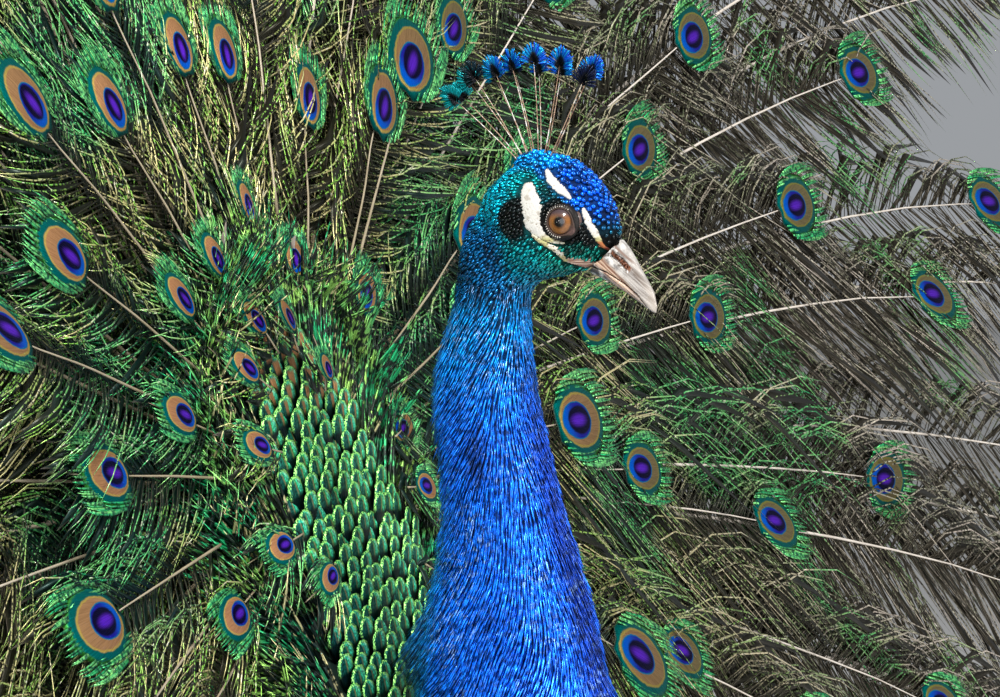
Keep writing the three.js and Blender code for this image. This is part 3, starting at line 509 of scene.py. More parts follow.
# One feather: its own places of barbs, shaft and eye, with small differences of angle and length.
def train_feather(index, count, depth, slide, over, radius, eye_half, barb_length, spacing, angle):
    depth = depth + train_draw.uniform(-0.0015, 0.0015)
    twist = train_draw.normal(0, math.radians(7))
    reach = radius + EYE_LENGTH_RATIO * eye_half + (0.010 if eye_half else 0.0)

    def station(along_radius):
        def point(radii):
            rising = over * np.minimum(1, radii / radius) ** 1.8
            return fan_point(radii, np.full_like(radii, angle), np.full_like(radii, depth), slide, rising)

        at, ahead = point(along_radius), point(along_radius + MM)
        along = unit(ahead - at)
        if over:
            along = unit(along - 0.8 * np.outer(along @ FAN_OUT, FAN_OUT))
        across = unit(np.cross(along, FAN_OUT))
        out = np.cross(across, along)
        turned = across * math.cos(twist) + out * math.sin(twist)
        return at, along, turned, np.cross(turned, along)

    # shaft
    first = min(max(0.45 * radius, 0.092), 0.74 * radius) if over else 0.055 + 0.04 * reach
    shaft_radius = np.linspace(first if over else 0.020, reach, SHAFT_STATIONS)
    at, along, across, out = station(shaft_radius)
    root_half = 0.0009 + 0.0013 * radius
    width = np.interp(shaft_radius / reach, [0, 0.5, 1], [root_half, 0.62 * root_half, 0.00025])
    raised = 0.0030 * np.clip((radius - 1.1 * EYE_LENGTH_RATIO * eye_half - shaft_radius) / 0.04, 0, 1)
    path = at + raised[:, None] * out
    shaft = strand_mesh(path[None], across[None], out[None], width[None], 0.9 * width[None], QUILL)
    strip = (index + 0.5) / count
    bake = np.stack([strip + 0.004 * shaft[3] / count, 0.77 * shaft[2] + 0.002], axis=-1)
    shaft_bundle = (shaft[0], shaft[1], bake[None], np.stack(shaft[2:], -1)[None])

    # barbs, looser and sparser near the root
    roots = []
    place = first
    while place < (radius + 0.55 * eye_half if eye_half else reach - 0.004):
        roots.append(place)
        share = (place - first) / (reach - first)
        place += spacing * (1.8 - 0.8 * min(1.0, share / 0.4))
    roots = np.array(roots)
    half_count = len(roots)
    roots = np.concatenate([roots, roots + 0.4 * spacing])
    side = np.repeat([-1.0, 1.0], half_count)
    roots += train_draw.uniform(-0.3, 0.3, len(roots)) * spacing
    share = (roots - first) / (reach - first)
    length = barb_length * np.interp(share, [0, 0.2, 0.8, 1], [0.5, 0.95, 1, 0.75])
    if eye_half:
        length = np.minimum(length, 0.30 * barb_length + 0.80 * (reach - roots))
    else:
        length = length * np.interp((reach - roots) / barb_length, [0, 0.5, 2], [0.5, 0.75, 1])
    length = length * train_draw.uniform(0.82, 1.10, len(roots))
    leave = np.radians(np.interp(share, [0, 0.6, 1], [74, 66, 46])) + train_draw.normal(0, 0.06, len(roots))
    bend = leave - np.radians(np.interp(share, [0, 0.6, 1], [12, 8, 2]))
    bend += train_draw.normal(0, 0.14, len(roots)) + 0.14 * np.sin(roots * 60 + index)
    tilt = train_draw.normal(0.05, 0.09, len(roots)) + 0.12 * np.sin(roots * 95 + 2 * index)
    at, along, across, out = station(roots)
    steps = np.linspace(0, 1, BARB_STATIONS)
    heading = leave[:, None] - bend[:, None] * steps**0.9
    sweep = np.diff(steps, prepend=0)
    sideways = np.cumsum(np.sin(heading) * sweep, axis=1) * length[:, None]
    forward = np.cumsum(np.cos(heading) * sweep, axis=1) * length[:, None]
    sag = (0.08 + 0.22 * abs(math.sin(angle))) * length[:, None] * steps**2
    path = (
        at[:, None]
        + across[:, None] * (side[:, None] * sideways)[..., None]
        + along[:, None] * forward[..., None]
        + out[:, None] * (tilt[:, None] * sideways)[..., None]
        + DOWN * sag[..., None]
    )
    ways = unit(np.gradient(path, axis=1))
    flat = unit(np.cross(ways, out[:, None]))
    face = np.cross(flat, ways)
    half = np.tile(np.interp(steps, [0, 0.3, 1], [0.00040, 0.00072, 0.00030]), (len(roots), 1))
    barbs = strand_mesh(path, flat, face, half, 0.45 * half, THREAD)
    bake = np.empty((len(roots), barbs[0].shape[1], 2))
    bake[..., 0] = strip + (side[:, None] * (0.06 + 0.36 * barbs[2])) / count
    bake[..., 1] = (0.76 * np.clip(roots / reach, 0, 1))[:, None] + 0.0025 * barbs[3] + 0.003
    seed = train_draw.uniform(0, 1, len(roots))
    vane = map_of(barbs[2], seed[:, None], bake.shape[:2])
    bundles = [(barbs[0], barbs[1], bake, vane)]

    # broad dull under-barbs that close the fan behind the bright ones; their dark colour is painted shade
    # between the bright barbs
    under = np.arange(0, half_count, 4 if reach < 0.7 else 3)
    under = np.concatenate([under, under + half_count])
    wide = np.tile(np.interp(steps[::2], [0, 0.4, 1], [0.0014, 0.0040, 0.0008]), (len(under), 1))
    back = path[under][:, ::2] - 0.004 * out[under][:, None]
    ribbon = strand_mesh(back, flat[under][:, ::2], face[under][:, ::2], wide, 0.12 * wide, THREAD)
    bake = np.empty((len(under), ribbon[0].shape[1], 2))
    bake[..., 0] = strip + (side[under][:, None] * (0.06 + 0.36 * ribbon[2])) / count
    bake[..., 1] = (0.76 * np.clip(roots[under] / reach, 0, 1))[:, None] + 0.003
    bundles.append((ribbon[0], ribbon[1], bake, 0 * bake))
    eye_bundle = None
    if eye_half:
        eye_bundle = ocellus(index, radius, eye_half, station)
        bundles.append(eye_collar(strip, radius, reach, eye_half, station))
    return shaft_bundle, bundles, eye_bundle


# Bright green barbs hug the eye and close to a point beyond its tip.
COLLAR_BARBS = 48


def eye_collar(strip, radius, reach, eye_half, station):
    at, along, across, out = (value[0] for value in station(np.array([radius])))
    turn = np.radians(np.linspace(-62, 242, COLLAR_BARBS)) + train_draw.normal(0, 0.04, COLLAR_BARBS)
    x, y = np.cos(turn), np.sin(turn) * EYE_LENGTH_RATIO
    steps = np.linspace(0, 1, 4)
    grown = np.interp(np.sin(turn), [-1, 0, 1], [1.9, 1.5, 0.8])
    length = eye_half * grown * train_draw.uniform(0.8, 1.15, COLLAR_BARBS)
    spread_out = np.outer(0.30 * x, 1 - 1.5 * steps)
    sideways = 0.90 * eye_half * x[:, None] + np.cumsum(spread_out, axis=1) * length[:, None] / 3
    forward = 0.90 * eye_half * y[:, None] + np.outer(length, steps)
    path = at + sideways[..., None] * across + forward[..., None] * along + (0.10 * eye_half) * out
    ways = unit(np.gradient(path, axis=1))
    flat = unit(np.cross(ways, out))
    half = np.tile(np.array([0.0007, 0.0010, 0.0007, 0]) * (eye_half / 0.022) ** 0.5, (COLLAR_BARBS, 1))
    barbs = strand_mesh(path, flat, np.cross(flat, ways), half, 0.3 * half, THREAD)
    bake = np.empty((COLLAR_BARBS, barbs[0].shape[1], 2))
    bake[..., 0] = strip + 0.00004 * np.arange(COLLAR_BARBS)[:, None]
    bake[..., 1] = 0.77 * radius / reach + 0.02 * barbs[2]
    seed = train_draw.uniform(1.02, 2.0, COLLAR_BARBS)  # above one: a barb that hugs an eye
    vane = map_of(barbs[2], seed[:, None], bake.shape[:2])
    return barbs[0], barbs[1], bake, vane


# The eye: a thin shallow dish of close barbs in rings, an oval a little longer than wide.
EYE_RINGS = 5
EYE_SPOKES = 22
EYE_THICK = 0.0006


def ocellus(index, radius, eye_half, station):
    at, along, across, out = (value[0] for value in station(np.array([radius])))
    turns = 2 * np.pi * np.arange(EYE_SPOKES) / EYE_SPOKES
    raised = 0.16 * eye_half
    points, maps = [], []
    for face in (1, -1):
        for ring in range(1, EYE_RINGS + 1):
            if face < 0 and ring == EYE_RINGS:
                continue
            share = ring / EYE_RINGS
            x = share * np.cos(turns)
            y = share * np.sin(turns) * (1 + 0.10 * np.sin(turns))
            ragged = 1 + (0.06 * np.cos(9 * turns + index) if ring == EYE_RINGS else 0)
            lift = raised * (1 - 0.7 * share**2) + face * EYE_THICK * (1 - share**4)
            points.append(
                at + np.outer(x * ragged * eye_half, across)
                + np.outer(y * ragged * eye_half * EYE_LENGTH_RATIO, along) + lift * out
            )
            maps.append(np.stack([0.5 + 0.5 * x, 0.5 + 0.5 * y / 1.1], axis=-1))
        points.append((at + (raised + face * EYE_THICK) * out)[None])
        maps.append(np.array([[0.5, 0.5]]))
    front_middle = EYE_RINGS * EYE_SPOKES
    rear = front_middle + 1
    rear_middle = rear + (EYE_RINGS - 1) * EYE_SPOKES
    quads, tips = [], []
    for j in range(EYE_SPOKES):
        k = (j + 1) % EYE_SPOKES
        for ring in range(EYE_RINGS - 1):
            a, b = ring * EYE_SPOKES, (ring + 1) * EYE_SPOKES
            quads.append((a + j, b + j, b + k, a + k))
            ra = rear + a
            rb = rear + b if ring < EYE_RINGS - 2 else b
            quads.append((ra + k, rb + k, rb + j, ra + j))
        tips.append((front_middle, j, k))
        tips.append((rear_middle, rear + k, rear + j))
    points = np.concatenate(points)
    maps = np.concatenate(maps)
    corner = np.array([index % EYE_COLUMNS / EYE_COLUMNS, EYE_ROW_START + 0.1 * (index // EYE_COLUMNS)])
    bake = corner + 0.005 + 0.09 * maps
    return points[None], (quads, tips), bake[None], maps[None]


def add_train_piece(name, feathers, replaced=()):
    shafts, barbs, eyes = [], [], []
    for index, feather in enumerate(feathers):
        parts = train_feather(index, len(feathers), *feather)
        shafts.append(parts[0])
        barbs += parts[1]
        if parts[2] is not None:
            eyes.append(parts[2])
    mesh = joined_mesh(name, barbs + shafts + eyes)
    kinds = [0] * len(barbs) + [1] * len(shafts) + [2] * len(eyes)
    set_kinds(mesh, barbs + shafts + eyes, kinds)
    add_piece(name, mesh, (BARBS, SHAFTS, OCELLI), replaced)


def side_slide(angle, most):
    return most * max(0.0, (abs(angle) - SLIDE_FROM) / SLIDE_FROM)


def short_feather(radius, degrees):
    radius, angle = radius * MM, math.radians(degrees)
    eye_half = (0.0042 + 0.045 * radius) * (1 + 0.30 * abs(math.sin(angle)))
    slide = side_slide(angle, SHORT_SLIDE * (1 - radius / 0.4))
    over = float(np.interp(radius, [0.09, 0.17], [0.012, 0.006]))
    depth = 0.006 + 0.03 * radius
    return depth, slide, over, radius, eye_half, 0.022 + 0.24 * radius, 0.0019 + 0.0035 * radius, angle


def tier_feathers(tier, spec):
    radius, eye_half, barb_length, spacing, first, last, count = spec
    for index in range(count):
        angle = math.radians(first + (last - first) * index / (count - 1) + train_draw.normal(0, 0.9))
        slide = side_slide(angle, 0.012 if tier == 0 else 0.0)
        grown = radius * train_draw.uniform(0.965, 1.035)
        yield FIRST_DEPTH + TIER_DEPTH * tier, slide, 0.0, grown, eye_half, barb_length, spacing, angle


def grow_train():
    shortest = [short_feather(*spec) for spec in SHORT_FEATHERS if spec[0] < 200]
    short = [short_feather(*spec) for spec in SHORT_FEATHERS if spec[0] >= 200]
    add_train_piece("train_shortest", shortest, ("train_middle", "train_left", "train_right"))
    add_train_piece("train_short", short)
    for tier, (name, spec) in enumerate(TRAIN_TIERS.items()):
        add_train_piece(name, list(tier_feathers(tier, spec)))


grow_train()

# ---- Skin ----
# One skin runs from the crown to the hocks, a coat's depth inside the outline of the plumage.
# It is bare only on the face. The feathers below are rooted in it and share its markings.
SKIN_NODES = ("head", "neck", "torso", "thigh_left", "thigh_right")
SKIN_VOXEL = 0.003
SKIN_ROUNDS = 14  # times that the joined solids are smoothed
SEAM_GROWTH = 0.0006  # closes the thin partings between the nodes
CREST_PAD = np.array([[0, EYE_Y + 0.0225, EYE_SURFACE.z + 0.0245], [0.0090, 0.0100, 0.0082]])  # middle, radii
COAT_DEPTHS = ((0.16, 0.30, 0.50, 0.56, 0.72, 0.75), (0.003, 0.007, 0.008, 0.004, 0.0025, 0.0015))


def rows_of(items, field, width, kind=float):
    values = np.empty(len(items) * width, kind)
    items.foreach_get(field, values)
    return values.reshape(-1, width)


def shade_smooth(mesh):
    mesh.polygons.foreach_set("use_smooth", np.ones(len(mesh.polygons), bool))


# A finer, rounder closed surface round joined solids, as a mesh and the shape to fill it with.
def remeshed(name, joined, voxel, rounds):
    mesh = bpy.data.meshes.new(name)
    joined.to_mesh(mesh)
    joined.free()
    blank = new_object(name, mesh)
    remesh = blank.modifiers.new("refine", "REMESH")
    remesh.mode = "VOXEL"
    remesh.voxel_size = voxel
    graph = bpy.context.evaluated_depsgraph_get()
    whole = bpy.data.meshes.new_from_object(blank.evaluated_get(graph))
    bpy.data.objects.remove(blank)
    shape = bmesh.new()
    shape.from_mesh(whole)
    for _ in range(rounds):
        bmesh.ops.smooth_vert(shape, verts=shape.verts, factor=0.5,
                              use_axis_x=True, use_axis_y=True, use_axis_z=True)
    shape.normal_update()
    return whole, shape


def skin_shape():
    joined = bmesh.new()
    for name in SKIN_NODES:
        part = bmesh.new()
        part.from_mesh(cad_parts[name].data)
        bmesh.ops.remove_doubles(part, verts=part.verts, dist=1e-6)
        part.normal_update()
        for vertex in part.verts:
            vertex.co += vertex.normal * SEAM_GROWTH
        grown = bpy.data.meshes.new("grown")
        part.to_mesh(grown)
        part.free()
        joined.from_mesh(grown)
    whole, shape = remeshed("joined", joined, SKIN_VOXEL, SKIN_ROUNDS)
    depths = [np.interp(vertex.co.z, *COAT_DEPTHS) for vertex in shape.verts]
    normals = [vertex.normal.copy() for vertex in shape.verts]
    for vertex, depth, normal in zip(shape.verts, depths, normals):
        forward, up = (EYE_Y - vertex.co.y) / MM, (vertex.co.z - EYE_SURFACE.z) / MM
        nape = 0.0062 * math.exp(-(((forward + 50) / 11) ** 2) - ((up - 0.5) / 10) ** 2)
        nape -= 0.0026 * math.exp(-(((forward + 66) / 14) ** 2) - ((up + 92) / 34) ** 2)
        vertex.co -= normal * (depth + nape)
        share = (np.array(vertex.co) - CREST_PAD[0]) / CREST_PAD[1]
        reach = (np.abs(share) ** 2.6).sum() ** (1 / 2.6)
        if 0.2 < reach < 1:
            vertex.co = CREST_PAD[0] + share / reach * CREST_PAD[1]
    shape.to_mesh(whole)
    shape.free()
    return whole


def smooth(low, high, value):
    share = np.clip((value - low) / (high - low), 0, 1)
    return share * share * (3 - 2 * share)


def blend(share, a, b):
    return a + share[..., None] * (np.array(b) - a)


# The colours of head, neck, body and thighs at places given in metres. Heights and distances
# on the head are in millimetres from the middle of the eye, forward and up.
def plumage_tone(points):
    x = np.abs(points[..., 0]) * 1000
    forward = (EYE_Y - points[..., 1]) * 1000
    up = (points[..., 2] - EYE_SURFACE.z) * 1000
    neck = np.array((0.004, 0.125, 0.78)) + 0 * points
    neck = blend(smooth(-110, -35, up), neck, (0.0, 0.22, 0.62))
    # A painted shade darkens a fold of the neck feathers.
    fold = smooth(1.4, 0.5, np.hypot((forward + 43 + 0.1 * (up + 112)) / 4.5, (up + 112) / 17))
    neck = blend(0.8 * fold, neck, (0.002, 0.015, 0.10))
    # A painted shade darkens the front of the neck.
    middle = np.interp(up, [-250, -162, -81], [-15, -26, -40])
    front = smooth(17, 6, x) * smooth(4, 18, forward - middle) * smooth(-45, -70, up)
    neck = blend(0.75 * front, neck, (0.002, 0.012, 0.20))
    # A painted highlight turns the rear edge of the lower neck cyan.
    neck = blend(smooth(-50, -68, forward) * smooth(-120, -165, up), neck, (0.0, 0.20, 0.62))
    neck = blend(smooth(-60, -22, up) * smooth(-30, -6, forward), neck, (0.0, 0.07, 0.16))
    tone = blend(smooth(-46, -8, up), neck, (0.0, 0.33, 0.50))
    behind_ear = smooth(-50, -36, up) * smooth(8, -8, up) * smooth(-22, -32, forward)
    tone = blend(behind_ear, tone, (0.0, 0.085, 0.24))
    tone = blend(smooth(-34, -16, up) * smooth(-36, -24, forward), tone, (0.0, 0.29, 0.33))
    tone = blend(smooth(-30, -20, up) * smooth(-20, -4, forward), tone, (0.0, 0.20, 0.16))
    tone = blend(smooth(-2, 12, up) * smooth(-24, -34, forward), tone, (0.0, 0.42, 0.62))
    over_bar = smooth(2, 8, up) * smooth(18, 12, up) * smooth(-22, -14, forward)
    tone = blend(over_bar, tone, (0.0, 0.16, 0.22))
    crown = np.maximum(
        smooth(7.5, 10.5, 0.65 * forward + 0.76 * up),
        smooth(-1, 1, forward - 7.8 - 0.506 * (5.3 - up)),
    ) * smooth(-14, -6, up)
    tone = blend(crown, tone, (0.001, 0.11, 0.62))
    tone = blend(crown * smooth(8, 20, forward), tone, (0.001, 0.07, 0.42))
    tone = blend(crown * smooth(5, -5, up), tone, (0.0, 0.07, 0.12))
    tone = blend(smooth(22, 28, up) * smooth(2, -10, forward), tone, (0.0, 0.25, 0.72))
    black = np.maximum.reduce([
        smooth(1.15, 0.85, np.hypot((forward + 24.6) / 8.4, (up - 1.6) / (10.5 + 0.4 * (forward + 24.6)))),
        smooth(1.2, 0.95, np.hypot((forward - 1.5) / 12.5, (up - 0.5) / 10.5)),
        smooth(1.15, 0.85, np.hypot((forward - 12.5) / 5.0, (up + 4.0) / 8.0)),
    ]) * (1 - crown)
    black = np.maximum(black, smooth(1.2, 0.8, np.hypot((forward - 20.5) / 5.5, (up + 10) / 4.5)))
    tone = blend(black * smooth(-30, -20, up), tone, (0.006, 0.010, 0.011))
    tone = blend(smooth(-270, -350, up), tone, (0.004, 0.050, 0.22))
    tone = blend(smooth(-340, -420, up), tone, (0.008, 0.022, 0.024))
    saddle = smooth(-70, -84, forward - 0.4 * x) * smooth(-188, -204, up)
    tone = blend(saddle, tone, (0.004, 0.035, 0.022))
    tone = blend(smooth(-110, -190, forward) * smooth(-320, -360, up), tone, (0.05, 0.045, 0.03))
    thigh = smooth(50, 60, x) * smooth(-395, -430, up) + smooth(-440, -470, up)
    return blend(np.clip(thigh, 0, 1), tone, (0.36, 0.27, 0.165))


def set_tone(mesh, tone):
    layer = mesh.attributes.new("Tone", "FLOAT_COLOR", "POINT")
    opaque = np.concatenate([tone, np.ones((len(tone), 1))], 1)
    layer.data.foreach_set("color", opaque.ravel().astype(np.float32))


# Six charts, one for each way a surface can face, fill the square three by two.
def chart_map(points, normals, low, high):
    axis = np.abs(normals).argmax(axis=1)
    rows = np.arange(len(points))
    chart = 2 * axis + (normals[rows, axis] > 0)
    share = (points - low) / (high - low)
    first = share[rows, (axis + 1) % 3]
    second = share[rows, (axis + 2) % 3]
    column, row = chart % 3, chart // 3
    return np.stack([(column + 0.03 + 0.94 * first) / 3, (row + 0.03 + 0.94 * second) / 2], axis=-1)


def bake_by_charts(mesh):
    points = rows_of(mesh.vertices, "co", 3)
    normals = rows_of(mesh.polygons, "normal", 3)
    corners = rows_of(mesh.loops, "vertex_index", 1, np.int32)[:, 0]
    totals = rows_of(mesh.polygons, "loop_total", 1, np.int32)[:, 0]
    layer = mesh.uv_layers.get("OFBake") or mesh.uv_layers.new(name="OFBake")
    chart = chart_map(points[corners], np.repeat(normals, totals, axis=0), points.min(0), points.max(0))
    layer.data.foreach_set("uv", chart.astype(np.float32).ravel())


def toned_paint(name, roughness, metallic, scale, low, high, patches=0.0, specular=0.5):
    paint = Paint(name, roughness, metallic, specular=specular)
    tone = paint.nodes.new("ShaderNodeAttribute")
    tone.attribute_name = "Tone"
    grain = paint.noise(paint.place(), scale, detail=2.0)
    # The grain's light factor is painted highlight and shade, brighter and darker from place to place; broad
    # patches darken it further.
    light = paint.ramp(grain, 0.3, 0.7, low, high)
    if patches:
        broad = paint.noise(paint.place(), 46.0, detail=3.0)
        light = paint.times(light, paint.ramp(broad, 0.34, 0.56, 1 - patches, 1.0))
    return paint, paint.vector("SCALE", tone.outputs["Color"], light)


def toned_material(*looks, **more):
    paint, tone = toned_paint(*looks, **more)
    return paint.color(tone)


def make_skin():
    mesh = skin_shape()
    mesh.name = "skin"
    set_tone(mesh, plumage_tone(rows_of(mesh.vertices, "co", 3)))
    # The skin takes a small share of the plumage's tone: painted shade under the feathers.
    paint, tone = toned_paint("skin", 0.7, 0.0, 300.0, 0.06, 0.22, specular=0.1)
    paint.bump(paint.noise(paint.place(), 700.0), 0.0008)
    mesh.materials.clear()
    bake_by_charts(mesh)
    shade_smooth(mesh)
    return add_piece("skin", mesh, (paint.color(tone),), SKIN_NODES)


skin = make_skin()

# ---- Head, neck, breast and body feathers ----
# Short feathers root in the skin and lie back along it: glossy beads on the crown, fine short
# ones on the cheeks, silky hair-like ones down the neck, and broad ones on breast and belly.
def surface_points(mesh):
    corners = rows_of(mesh.loop_triangles, "vertices", 3, np.int32)
    return rows_of(mesh.vertices, "co", 3)[corners], rows_of(mesh.loop_triangles, "normal", 3)


# Even random points on a surface, none nearer than the spacing to another.
def spread(corners, normals, spacing, seed):
    draw = np.random.default_rng(seed)
    areas = np.linalg.norm(np.cross(corners[:, 1] - corners[:, 0], corners[:, 2] - corners[:, 0]), axis=1) / 2
    tries = int(5 * areas.sum() / spacing**2)
    chosen = draw.choice(len(areas), tries, p=areas / areas.sum())
    a, b = np.sqrt(draw.uniform(0, 1, tries)), draw.uniform(0, 1, tries)
    weights = np.stack([1 - a, a * (1 - b), a * b], axis=-1)
    points = (corners[chosen] * weights[..., None]).sum(axis=1)
    cells = np.floor(points / spacing).astype(int)
    kept, grid = [], {}
    limit = spacing * spacing
    near = [(i, j, k) for i in (-1, 0, 1) for j in (-1, 0, 1) for k in (-1, 0, 1)]
    listed = points.tolist()
    for n, cell in enumerate(map(tuple, cells.tolist())):
        p = listed[n]
        clear = True
        for i, j, k in near:
            for q in grid.get((cell[0] + i, cell[1] + j, cell[2] + k), ()):
                if (p[0] - q[0])**2 + (p[1] - q[1])**2 + (p[2] - q[2])**2 < limit:
                    clear = False
                    break
            if not clear:
                break
        if clear:
            grid.setdefault(cell, []).append(p)
            kept.append(n)
    return points[kept], normals[chosen[kept]]


# Copies of a template stand on points. A copy is turned and sized by the point's own values, with
# a little difference from one to the next.
def standing_tree():
    tree = bpy.data.node_groups.new("standing_feathers", "GeometryNodeTree")
    face = tree.interface
    for name, kind in (("Geometry", "Geometry"), ("Template", "Object"), ("Finish", "Material"),
                       ("Smallest", "Float"), ("Largest", "Float"), ("Seed", "Int")):
        face.new_socket(name, in_out="INPUT", socket_type="NodeSocket" + kind)
    face.new_socket("Geometry", in_out="OUTPUT", socket_type="NodeSocketGeometry")
    given = tree.nodes.new("NodeGroupInput").outputs

    # A node with its inputs joined to other nodes' outputs
    def joined(kind, **feeds):
        node = tree.nodes.new(kind)
        for socket, source in feeds.items():
            tree.links.new(source, node.inputs[socket])
        return node

    def named(attribute):
        node = tree.nodes.new("GeometryNodeInputNamedAttribute")
        node.data_type = "FLOAT_VECTOR"
        node.inputs["Name"].default_value = attribute
        return node.outputs["Attribute"]

    template = joined("GeometryNodeObjectInfo", Object=given["Template"])
    rotation = tree.nodes.new("FunctionNodeEulerToRotation")
    tree.links.new(named("turn"), rotation.inputs[0])
    size = named("size")
    chance = joined("FunctionNodeRandomValue", Seed=given["Seed"])
    chance.data_type = "FLOAT"
    tree.links.new(given["Smallest"], chance.inputs[2])
    tree.links.new(given["Largest"], chance.inputs[3])
    scaled = tree.nodes.new("ShaderNodeVectorMath")
    scaled.operation = "SCALE"
    tree.links.new(size, scaled.inputs[0])
    tree.links.new(chance.outputs[1], scaled.inputs["Scale"])
    stand = joined("GeometryNodeInstanceOnPoints", Points=given["Geometry"],
                   Instance=template.outputs["Geometry"], Rotation=rotation.outputs[0],
                   Scale=scaled.outputs[0])
    real = tree.nodes.new("GeometryNodeRealizeInstances")
    tree.links.new(stand.outputs[0], real.inputs[0])
    finish = joined("GeometryNodeSetMaterial", Geometry=real.outputs[0], Material=given["Finish"])
    result = tree.nodes.new("NodeGroupOutput")
    tree.links.new(finish.outputs[0], result.inputs[0])
    return tree


STANDING = standing_tree()
SOCKETS = {item.name: item.identifier for item in STANDING.interface.items_tree if item.in_out == "INPUT"}


def euler_of(across, along, out):
    return np.stack([
        np.arctan2(along[:, 2], out[:, 2]),
        -np.arcsin(np.clip(across[:, 2], -1, 1)),
        np.arctan2(across[:, 1], across[:, 0]),
    ], axis=-1)


# A feather a unit long and a unit wide along +Y: rows of station, half width, half thickness, rise.
def feather_template(name, rows, section):
    rows = np.array(rows)
    path = np.stack([0 * rows[:, 0], rows[:, 0], rows[:, 3]], axis=-1)[None]
    ones = np.ones(len(rows))
    across = (ones[:, None] * [1.0, 0, 0])[None]
    out = (ones[:, None] * [0, 0, 1.0])[None]
    points, groups, *_ = strand_mesh(path, across, out, rows[None, :, 1], rows[None, :, 2], section)
    vane = np.stack([0.5 + points[..., 0], points[..., 1]], axis=-1)
    mesh = joined_mesh(name, [(points, groups, vane, vane)])
    return bpy.data.objects.new(name, mesh)


BAKE_PATCH = 0.003


# Stands a copy of the template on each point, leaning from the skin by its lift, and adds the piece.
def stand_feathers(name, template, points, normals, lie, lift, sizes, paint, seed,
                   spread_of_size=(0.85, 1.15), tone=None, replaced=()):
    along = unit(lie - (lie * normals).sum(1, keepdims=True) * normals)
    along = unit(along * np.cos(lift)[:, None] + normals * np.sin(lift)[:, None])
    across = unit(np.cross(along, normals))
    out = np.cross(across, along)
    mesh = bpy.data.meshes.new(name + "_roots")
    mesh.vertices.add(len(points))
    mesh.vertices.foreach_set("co", points.astype(np.float32).ravel())
    for key, values in (("turn", euler_of(across, along, out)), ("size", sizes)):
        layer = mesh.attributes.new(key, "FLOAT_VECTOR", "POINT")
        layer.data.foreach_set("vector", values.astype(np.float32).ravel())
    set_tone(mesh, plumage_tone(points) if tone is None else tone)
    roots = new_object(name + "_roots", mesh)
    bpy.context.scene.collection.objects.link(template)
    modifier = roots.modifiers.new("stand", "NODES")
    modifier.node_group = STANDING
    smallest, largest = spread_of_size
    for socket, value in (("Template", template), ("Finish", paint), ("Smallest", smallest),
                          ("Largest", largest), ("Seed", seed)):
        modifier[SOCKETS[socket]] = value
    graph = bpy.context.evaluated_depsgraph_get()
    made = bpy.data.meshes.new_from_object(roots.evaluated_get(graph))
    made.name = name
    bpy.data.objects.remove(roots)
    corners = len(template.data.loops)
    bpy.data.objects.remove(template)
    low, high = points.min(0), points.max(0)
    root_map = chart_map(points, normals, low - 1e-4, high + 1e-4)
    local = np.empty(len(made.loops) * 2, np.float32)
    made.uv_layers["Vane"].data.foreach_get("uv", local)
    bake = np.repeat(root_map, corners, axis=0) + BAKE_PATCH * (local.reshape(-1, 2) - 0.5)
    layer = made.uv_layers.get("OFBake") or made.uv_layers.new(name="OFBake")
    layer.data.foreach_set("uv", bake.astype(np.float32).ravel())
    return add_piece(name, made, (), replaced)


corners, face_normals = surface_points(skin.data)
middles = corners.mean(axis=1)


def head_place(points):
    return (EYE_Y - points[:, 1]) * 1000, (points[:, 2] - EYE_SURFACE.z) * 1000, np.abs(points[:, 0]) * 1000


# Bands of bare white skin, as lines of (forward, up, half width) in millimetres from the eye.
BARE_BANDS = {
    "behind_eye": ((-17.9, 18.4, 2.6), (-17.4, 15.8, 4.0), (-16.1, 12, 5.0), (-14.6, 8.2, 5.7),
                   (-14.2, 4.2, 5.4), (-14.2, 0, 4.7), (-12.0, -4.6, 3.3), (-7.8, -8.2, 1.7),
                   (-2.8, -10.0, 1.0), (0.6, -10.4, 0.5)),
    "over_eye": ((-10.5, 24.8, 0.9), (-6.9, 20.2, 2.0), (-2.3, 16.1, 2.2), (1.8, 13.0, 1.4),
                 (4.0, 10.4, 0.5)),
    "before_eye": ((9.2, 6.6, 0.6), (10.0, 4.6, 1.2), (11.6, 0.3, 1.7), (13.9, -4.6, 1.7),
                   (15.4, -8.9, 1.3), (16.4, -11.8, 0.8), (17.8, -13.8, 0.7)),
    "to_gape": ((-14.4, -6.4, 0.9), (-10.8, -9.4, 1.2), (-7.2, -11.8, 1.3), (-4.4, -13.2, 1.7),
                (-2.6, -14.6, 2.2), (-2.0, -17.0, 1.3), (-1.0, -18.6, 1.5)),
    "gape": ((-1.4, -18.4, 1.0), (2.0, -19.0, 2.0), (6.5, -20.3, 2.8), (11.0, -22.2, 3.2),
             (15.5, -24.4, 3.2)),
}


BAND_STEPS = 40


# A line of rows sampled at even steps of their number.
def dense_line(line, count):
    line = np.array(line)
    steps = np.linspace(0, len(line) - 1, count)
    return np.stack([np.interp(steps, range(len(line)), column) for column in line.T], axis=-1)


def bare_distance(forward, up):
    nearest = np.full(len(forward), 99.0)
    for band in BARE_BANDS.values():
        track = dense_line(band, BAND_STEPS)
        gap = np.hypot(forward[:, None] - track[:, 0], up[:, None] - track[:, 1]) - track[:, 2]
        nearest = np.minimum(nearest, gap.min(axis=1))
    return nearest


def chosen(keep, spacing, seed):
    return spread(corners[keep], face_normals[keep], spacing, seed)


forward, up, aside = head_place(middles)


def nape_line(forward):
    return -32 + 3.5 * np.sin(forward / 2.7) + 2.5 * np.sin(forward / 1.1 + 2)


